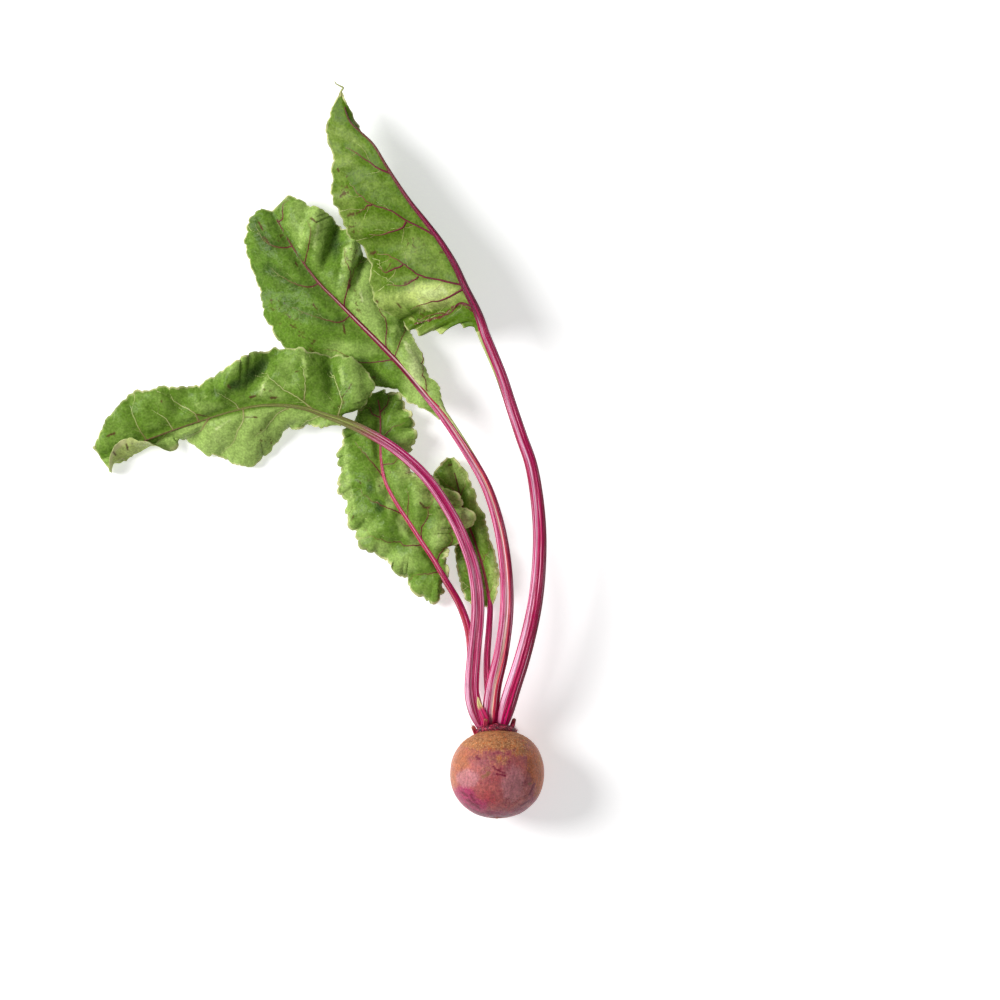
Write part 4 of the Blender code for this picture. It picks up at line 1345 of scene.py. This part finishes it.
def stemMaterial(name, stem):
    material, tree, shader = newMaterial(f"stemSkin_{name}", 0.3, 0.32)
    along = attribute(tree, "along")
    rib = attribute(tree, "rib")
    where = addNode(tree, "ShaderNodeSeparateXYZ", {0: attribute(tree, "ringPlace", "Vector")}).outputs
    lengthwise = joined(tree, where[0], where[1], times(tree, along, 0.8))
    broadStreaks = noise(tree, lengthwise, 2.2, 2, 0.5)
    streaks = noise(tree, lengthwise, 6.0, 2, 0.5)
    fineStreaks = noise(tree, lengthwise, 14.0, 2, 0.6)
    patches = useGroup(tree, mottle, Place=objectPlace(tree), Contrast=1.4)
    # the bands wander a little along the stem
    drift = times(tree, calc(tree, "SUBTRACT", broadStreaks, 0.5), 0.28)
    drift = calc(tree, "MULTIPLY_ADD", calc(tree, "SUBTRACT", streaks, 0.5), 0.22, drift)
    share = calc(tree, "ADD", calc(tree, "MULTIPLY_ADD", where[0], 0.5, 0.5), drift)
    share = calc(tree, "SUBTRACT", share, mapRange(tree, along, 0.24, 0.38, 0.0, stem["turn"]))
    colour = ramp(tree, share, [(spot, stemLook[shade]) for spot, shade in stemBands[name]])
    paleShare = ramp(tree, share, [(spot, (part, part, part, 1)) for spot, part in paleShares[name]])
    fading = times(tree, mapRange(tree, along, 0.12, 0.45), stem["fading"])
    # thin dark lines, with painted shade in the hollows between the ribs, and thin pale lines on them
    thinDark = mapRange(tree, streaks, 0.34, 0.42, 1.0, 0.0)
    dark = calc(tree, "MAXIMUM", thinDark, mapRange(tree, rib, 0.05, 0.40, 0.9, 0.0))
    dark = times(tree, dark, mapRange(tree, paleShare, 0.2, 0.8, 0.85, 0.45))
    lines = calc(tree, "ADD", times(tree, streaks, 0.55), times(tree, fineStreaks, 0.45))
    paler = calc(tree, "MULTIPLY_ADD", times(tree, paleShare, stem["pale"]), 0.16, -0.08)
    lines = calc(tree, "ADD", lines, paler)
    unfaded = mapRange(tree, fading, 0.0, 1.0, 1.0, 0.35)
    pale = times(tree, mapRange(tree, lines, 0.50, 0.55, 0.0, 0.92), unfaded)
    colour = layered(
        tree, colour, (fading, stemLook["violet"]), (dark, stemLook["dark"]), (pale, stemLook["lilac"]),
        (mapRange(tree, fineStreaks, 0.40, 0.46, 0.8, 0.0), stemLook["body"]))
    tint = mapRange(tree, fineStreaks, 0.36, 0.64, 0.52, 1.26)
    colour = layered(
        tree, tinted(tree, colour, tint), (mapRange(tree, along, 0.0, 0.09, 0.7, 0.0), stemLook["base"]),
        (mapRange(tree, patches["Broad"], 0.60, 0.85, 0.0, 0.3), stemLook["deepRedAndShade"]))
    # past the blade's base it is a midrib, darker and browner towards the tip
    ribMiddle, ribSide = ribLook[name]
    middleShare = mapRange(tree, calc(tree, "ABSOLUTE", where[0]), 0.10, 0.42, 1.0, 0.0)
    middleShare = times(tree, middleShare, mapRange(tree, along, 0.74, 0.92, 1.0, 0.0))
    ribColour = layered(
        tree, ribSide, (middleShare, ribMiddle),
        (mapRange(tree, along, 0.72, 0.95, 0.0, 0.8), leafLook["veinBrown"]))
    asRib = mapRange(tree, attribute(tree, "tone"), 0.15, 1.0, 0.0, 0.92)
    colour = mixColour(tree, asRib, colour, tinted(tree, ribColour, tint))
    height = calc(tree, "MULTIPLY_ADD", patches["Fine"], 0.35, fineStreaks)
    finishSurface(tree, shader, colour, mapRange(tree, fineStreaks, 0.3, 0.7, 0.22, 0.42), height, 0.00028)
    return material


for stemName, stem in stems.items():
    makeStem(stemName, leaves[stemName], stem, stemMaterial(stemName, stem))
print("stems made")


# Crown: a low dark dome where the stems grow out, with scales, cut stubs, a young leaf and dry strands
crown = {
    "radius": 0.0109, "height": 0.0036, "rows": 26, "sides": 100, "seed": 21,
    "scales": 190000, "scaleLow": 0.55, "scaleHigh": 1.25,
    "rootlets": 250000, "scaleTurn": 6.28,
    "scaleShape": (0.0024, 0.0011, 0.25), "rootletShape": (0.0022, 0.00025, 0.4),
    "strandRadii": (0.00016, 0.00007), "threadRadii": (0.0007, 0.00022), "sheathRadius": 0.00165,
}
crownLook = {
    "dark": (0.035, 0.003, 0.010, 1), "maroon": (0.190, 0.006, 0.030, 1), "flake": (0.620, 0.030, 0.100, 1),
    "dry": (0.420, 0.180, 0.090, 1), "pale": (0.820, 0.400, 0.400, 1), "magenta": (0.700, 0.010, 0.200, 1),
    "straw": (0.760, 0.640, 0.260, 1),
}
stubs = {
    "left": {"from": (477.5, 736.0, 20.4), "to": (472.6, 725.4, 22.6), "radius": 1.35},
    "right": {"from": (512.2, 726.4, 21.0), "to": (514.6, 718.2, 22.1), "radius": 1.3},
    "top": {"from": (485.5, 724.4, 27.4), "to": (485.8, 718.2, 29.6), "radius": 1.3},
}
youngLeaf = [(486.5, 725, 23), (485.5, 718, 26.5), (482.5, 711, 27.8), (479.5, 704, 28.2), (477.6, 696, 28)]
strands = [
    [(474.5, 731, 22.3), (472.6, 727, 22.6), (471.0, 723.5, 23.2), (470.2, 719.5, 24.0)],
    [(511.5, 722, 22.5), (515.0, 726.0, 23.8), (519.5, 731.5, 24.4)],
    [(478.5, 730, 24.0), (480.0, 727.2, 25.0), (482.4, 726.0, 25.8)],
]
tipThread = [
    (341.5, 97, 24.4), (341.5, 92, 24.8), (343.5, 88.5, 25.6), (340, 86.5, 26.2), (336.5, 84.5, 26.0),
    (335, 82, 25.4),
]


def scatterTree():
    tree, given, result = newTree(
        "GeometryNodeTree", "scatteredScales",
        [("Ground", "Geometry", None), ("Density", "Float", 100.0), ("Seed", "Int", 1),
         ("Scale Min", "Float", 0.6), ("Scale Max", "Float", 1.2), ("Lean", "Float", 0.5),
         ("Scale Shape", "Object", None), ("Surface", "Material", None)],
        [("Scales", "Geometry", None)])
    tree.is_modifier = True
    hairy = addNode(tree, "GeometryNodeInputNamedAttribute", {"Name": "hairy"}).outputs["Attribute"]
    spread = addNode(tree, "GeometryNodeDistributePointsOnFaces", {
        "Mesh": given["Ground"], "Density": times(tree, hairy, given["Density"]),
        "Seed": given["Seed"]}).outputs
    shape = addNode(tree, "GeometryNodeObjectInfo", {"Object": given["Scale Shape"]}).outputs["Geometry"]
    size = addNode(tree, "FunctionNodeRandomValue", {
        2: given["Scale Min"], 3: given["Scale Max"], "Seed": given["Seed"]}).outputs[1]
    place = addNode(tree, "GeometryNodeInstanceOnPoints", {
        "Points": spread["Points"], "Instance": shape, "Rotation": spread["Rotation"], "Scale": size})
    back = times(tree, given["Lean"], -1.0)
    lean = addNode(tree, "FunctionNodeRandomValue", {}, data_type="FLOAT_VECTOR")
    feed(tree, lean.inputs[0], joined(tree, back, back, 0.0))
    feed(tree, lean.inputs[1], joined(tree, given["Lean"], given["Lean"], crown["scaleTurn"]))
    feed(tree, lean.inputs["Seed"], given["Seed"])
    turn = addNode(tree, "GeometryNodeRotateInstances", {
        "Instances": place.outputs["Instances"], "Rotation": lean.outputs[0]})
    finishPieces(tree, turn.outputs["Instances"], given["Surface"], result["Scales"])
    return tree


def scaleShape(name, length, width, curl):
    # one pointed scale, growing up from the origin, closed all round
    heights = np.array([0, 0.25, 0.5, 0.75])
    halves = np.array([0.75, 1.0, 0.8, 0.45]) * width / 2
    places = []
    for height, half in zip(heights, halves):
        bend = curl * height ** 2 * length
        for x, y in ((-half, 0), (0, -0.12 * width), (half, 0), (0, 0.12 * width)):
            places.append((x, y + bend, height * length))
    places.append((0, curl * length, length))
    faces = [(3, 2, 1, 0)]
    for row in range(3):
        for corner in range(4):
            following = (corner + 1) % 4
            here = row * 4
            there = here + 4
            faces.append((here + corner, here + following, there + following, there + corner))
    faces += [(12 + corner, 12 + (corner + 1) % 4, 16) for corner in range(4)]
    return addObject(name, np.array(places), faces, crownSurface)


def scatter(ground, name, values):
    copy = bpy.data.objects.new(f"ground_{name}", ground.data.copy())
    scene.collection.objects.link(copy)
    modifier = copy.modifiers.new("scatteredScales", "NODES")
    modifier.node_group = scatteredScales
    setInputs(modifier, values)
    made = plainCopy(copy, name)
    made.data.shade_smooth()
    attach(made, "root")
    bpy.data.objects.remove(values["Scale Shape"])
    return made


def crownMaterial():
    material, tree, shader = newMaterial("crownScales", 0.55, 0.4)
    place = objectPlace(tree)
    coarse = noise(tree, place, 520, 3, 0.65)
    freckle = noise(tree, place, 1900, 2, 0.6)
    patches = useGroup(tree, mottle, Place=place, Contrast=2.0)
    colour = layered(
        tree, crownLook["dark"], (mapRange(tree, coarse, 0.35, 0.55), crownLook["maroon"]),
        (mapRange(tree, coarse, 0.54, 0.62), crownLook["flake"]),
        (mapRange(tree, freckle, 0.58, 0.70, 0.0, 0.8), crownLook["pale"]),
        (mapRange(tree, patches["Broad"], 0.60, 0.75, 0.0, 0.7), crownLook["dry"]))
    height = calc(tree, "ADD", coarse, times(tree, freckle, 0.5))
    finishSurface(tree, shader, colour, mapRange(tree, freckle, 0.3, 0.7, 0.42, 0.68), height, 0.0005)
    return material


def stubMaterial():
    material, tree, shader = newMaterial("oldStub", 0.55, 0.4)
    streaks = noise(tree, attribute(tree, "ringPlace", "Vector"), 5.0, 3, 0.6)
    patches = useGroup(tree, mottle, Place=objectPlace(tree), Contrast=2.0)
    dryEnd = mapRange(tree, attribute(tree, "along"), 0.45, 1.0)
    dry = times(tree, dryEnd, mapRange(tree, patches["Fine"], 0.35, 0.60))
    colour = layered(
        tree, crownLook["maroon"], (mapRange(tree, streaks, 0.35, 0.60), crownLook["flake"]),
        (mapRange(tree, streaks, 0.55, 0.70), crownLook["pale"]), (dry, crownLook["dry"]))
    gloss = mapRange(tree, patches["Fine"], 0.3, 0.7, 0.4, 0.65)
    finishSurface(tree, shader, colour, gloss, streaks, 0.0003)
    return material


def sheathMaterial():
    # the young leaf is hot pink, with a straw-coloured sliver at its tip
    material, tree, shader = newMaterial("youngLeaf", 0.4, 0.45)
    streaks = noise(tree, attribute(tree, "ringPlace", "Vector"), 4.0, 2, 0.6)
    colour = layered(
        tree, crownLook["flake"], (mapRange(tree, streaks, 0.36, 0.60), crownLook["magenta"]),
        (mapRange(tree, streaks, 0.56, 0.66, 0.0, 0.7), crownLook["pale"]),
        (mapRange(tree, attribute(tree, "along"), 0.55, 0.75), crownLook["straw"]))
    finishSurface(tree, shader, colour, mapRange(tree, streaks, 0.3, 0.7, 0.30, 0.45), streaks, 0.0002)
    return material


def makeCrown():
    share = np.linspace(0.004, 1, crown["rows"])
    radii = crown["radius"] * np.sin(share * math.pi / 2)
    heights = crown["height"] * np.cos(share * math.pi / 2) - 0.0009
    radii = np.concatenate([radii, [crown["radius"] * 0.97, 0.00005]])
    heights = np.concatenate([heights, [-0.0022, -0.0024]])
    centre = crownPlace - np.array([0.0004, 0, 0])
    places, faces = turnedBody(centre, rootAxis, heights, radii, crown["sides"])
    seed = crown["seed"]
    lumps = 0.45 * softNoise(places, 0.0034, seed) + 0.25 * softNoise(places, 0.0015, seed + 1)
    away = places - (crownPlace - rootAxis * 0.004)
    away = away / np.linalg.norm(away, axis=1, keepdims=True)
    places = places + away * (lumps * 0.001)[:, None]
    hairy = ((places - crownPlace) @ rootAxis > -0.0012).astype(float)
    made = addObject("crown_dome", places, faces, crownSurface, {"hairy": hairy})
    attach(made, "root")
    return made


def pathPoints(points, count):
    return splineAt(fromGrid(points), np.linspace(0, 1, count))


scatteredScales = scatterTree()
crownSurface = crownMaterial()
stubSurface = stubMaterial()
crownPiece = makeCrown()
scatter(crownPiece, "crown_scales", {
    "Density": float(crown["scales"]), "Seed": 5,
    "Scale Min": crown["scaleLow"], "Scale Max": crown["scaleHigh"],
    "Lean": 0.95, "Scale Shape": scaleShape("oneScale", *crown["scaleShape"]), "Surface": crownSurface,
})
scatter(rootPiece, "tail_rootlets", {
    "Density": float(crown["rootlets"]), "Seed": 9, "Scale Min": 0.5, "Scale Max": 1.3,
    "Lean": 0.7, "Scale Shape": scaleShape("oneRootlet", *crown["rootletShape"]), "Surface": crownSurface,
})
for stubName, stub in stubs.items():
    line = pathPoints([stub["from"], stub["to"]], 14)
    radii = stub["radius"] * 0.001 * np.linspace(1.0, 0.75, 14)
    radii[-2:] *= (0.8, 0.35)
    makeTubes(
        f"stub_{stubName}_dry", [(line, radii, np.zeros(14))], stubSurface, "old_stub", f"stub_{stubName}",
        Ribs=7, Flatness=0.75, Seed=2.0, Sides=28, **{"Rib Depth": 0.2, "Channel Depth": 0.3})
line = pathPoints(youngLeaf, 40)
radii = crown["sheathRadius"] * np.sin(np.linspace(0.9, math.pi, 40)) ** 0.7 + 0.00008
makeTubes(
    "young_leaf_sheath", [(line, radii, np.zeros(40))], sheathMaterial(), "stem",
    Ribs=5, Flatness=0.6, Seed=4.0, Sides=28, **{"Rib Depth": 0.14, "Channel Depth": 0.4})
paths = [(pathPoints(strand, 16), np.linspace(*crown["strandRadii"], 16), np.zeros(16)) for strand in strands]
makeTubes("dry_strands", paths, crownSurface, "old_stub", Sides=6, **{"Rib Depth": 0.0})
thread = (pathPoints(tipThread, 30), np.linspace(*crown["threadRadii"], 30), np.full(30, 0.25))
makeTubes("leaf_tip_thread", [thread], leafVein, "leaf_underside", Sides=10, **{"Rib Depth": 0.25})
print("crown made")


# The setting: a pale table, soft light from the left and the camera straight above
setting = {
    "windowPlace": (-1.45, 0.50, 1.28), "windowSize": 0.95, "windowPower": 38,
    "fillPlace": (1.2, -0.4, 1.8), "fillSize": 1.6, "fillPower": 2, "lightAim": (-0.05, 0.15, 0),
    "sky": 0.22, "tableGlow": 0.57, "tableReach": 3.0,
    "cameraHeight": 3.0, "pictureSteps": 1000, "sensor": 36, "viewCentre": (500, 500, 20),
}


def makeFloor():
    size = setting["tableReach"]
    corners = np.array([(-size, -size, 0), (size, -size, 0), (size, size, 0), (-size, size, 0)])
    material, tree, shader = newMaterial("paleTable", 0.9, 0.1)
    tone = noise(tree, objectPlace(tree), 3.0, 2)
    colour = mixColour(tree, tone, (0.86, 0.86, 0.86, 1), (0.90, 0.90, 0.90, 1))
    feed(tree, shader.inputs["Base Color"], colour)
    # a faint glow keeps the shadows pale, as on a lit white table
    feed(tree, shader.inputs["Emission Color"], colour)
    shader.inputs["Emission Strength"].default_value = setting["tableGlow"]
    floor = addObject("table_top", corners, [(0, 1, 2, 3)], material)


def addLight(name, place, size, power):
    light = bpy.data.lights.new(name, "AREA")
    light.shape = "DISK"
    light.size = size
    light.energy = power
    made = bpy.data.objects.new(name, light)
    made.location = place
    aim = Vector(setting["lightAim"]) - Vector(place)
    made.rotation_mode = "QUATERNION"
    made.rotation_quaternion = aim.to_track_quat("-Z", "Y")
    scene.collection.objects.link(made)


def addCamera():
    distance = setting["cameraHeight"]
    frameWidth = setting["pictureSteps"] * gridStep
    camera = bpy.data.cameras.new("camera")
    camera.sensor_width = setting["sensor"]
    camera.lens = setting["sensor"] * distance / frameWidth
    camera.clip_end = 50
    made = bpy.data.objects.new("camera", camera)
    centre = fromGrid([setting["viewCentre"]])[0]
    made.location = (centre[0], centre[1], centre[2] + distance)
    made.rotation_euler = (0, 0, 0)
    scene.collection.objects.link(made)
    scene.camera = made


def addSky():
    world = bpy.data.worlds.new("softRoom")
    world.use_nodes = True
    background = world.node_tree.nodes["Background"]
    background.inputs["Color"].default_value = (1, 1, 1, 1)
    background.inputs["Strength"].default_value = setting["sky"]
    scene.world = world


makeFloor()
addLight("windowLeft", setting["windowPlace"], setting["windowSize"], setting["windowPower"])
addLight("fillRight", setting["fillPlace"], setting["fillSize"], setting["fillPower"])
addSky()
addCamera()
scene.view_settings.view_transform = "Standard"
print("light and camera set")
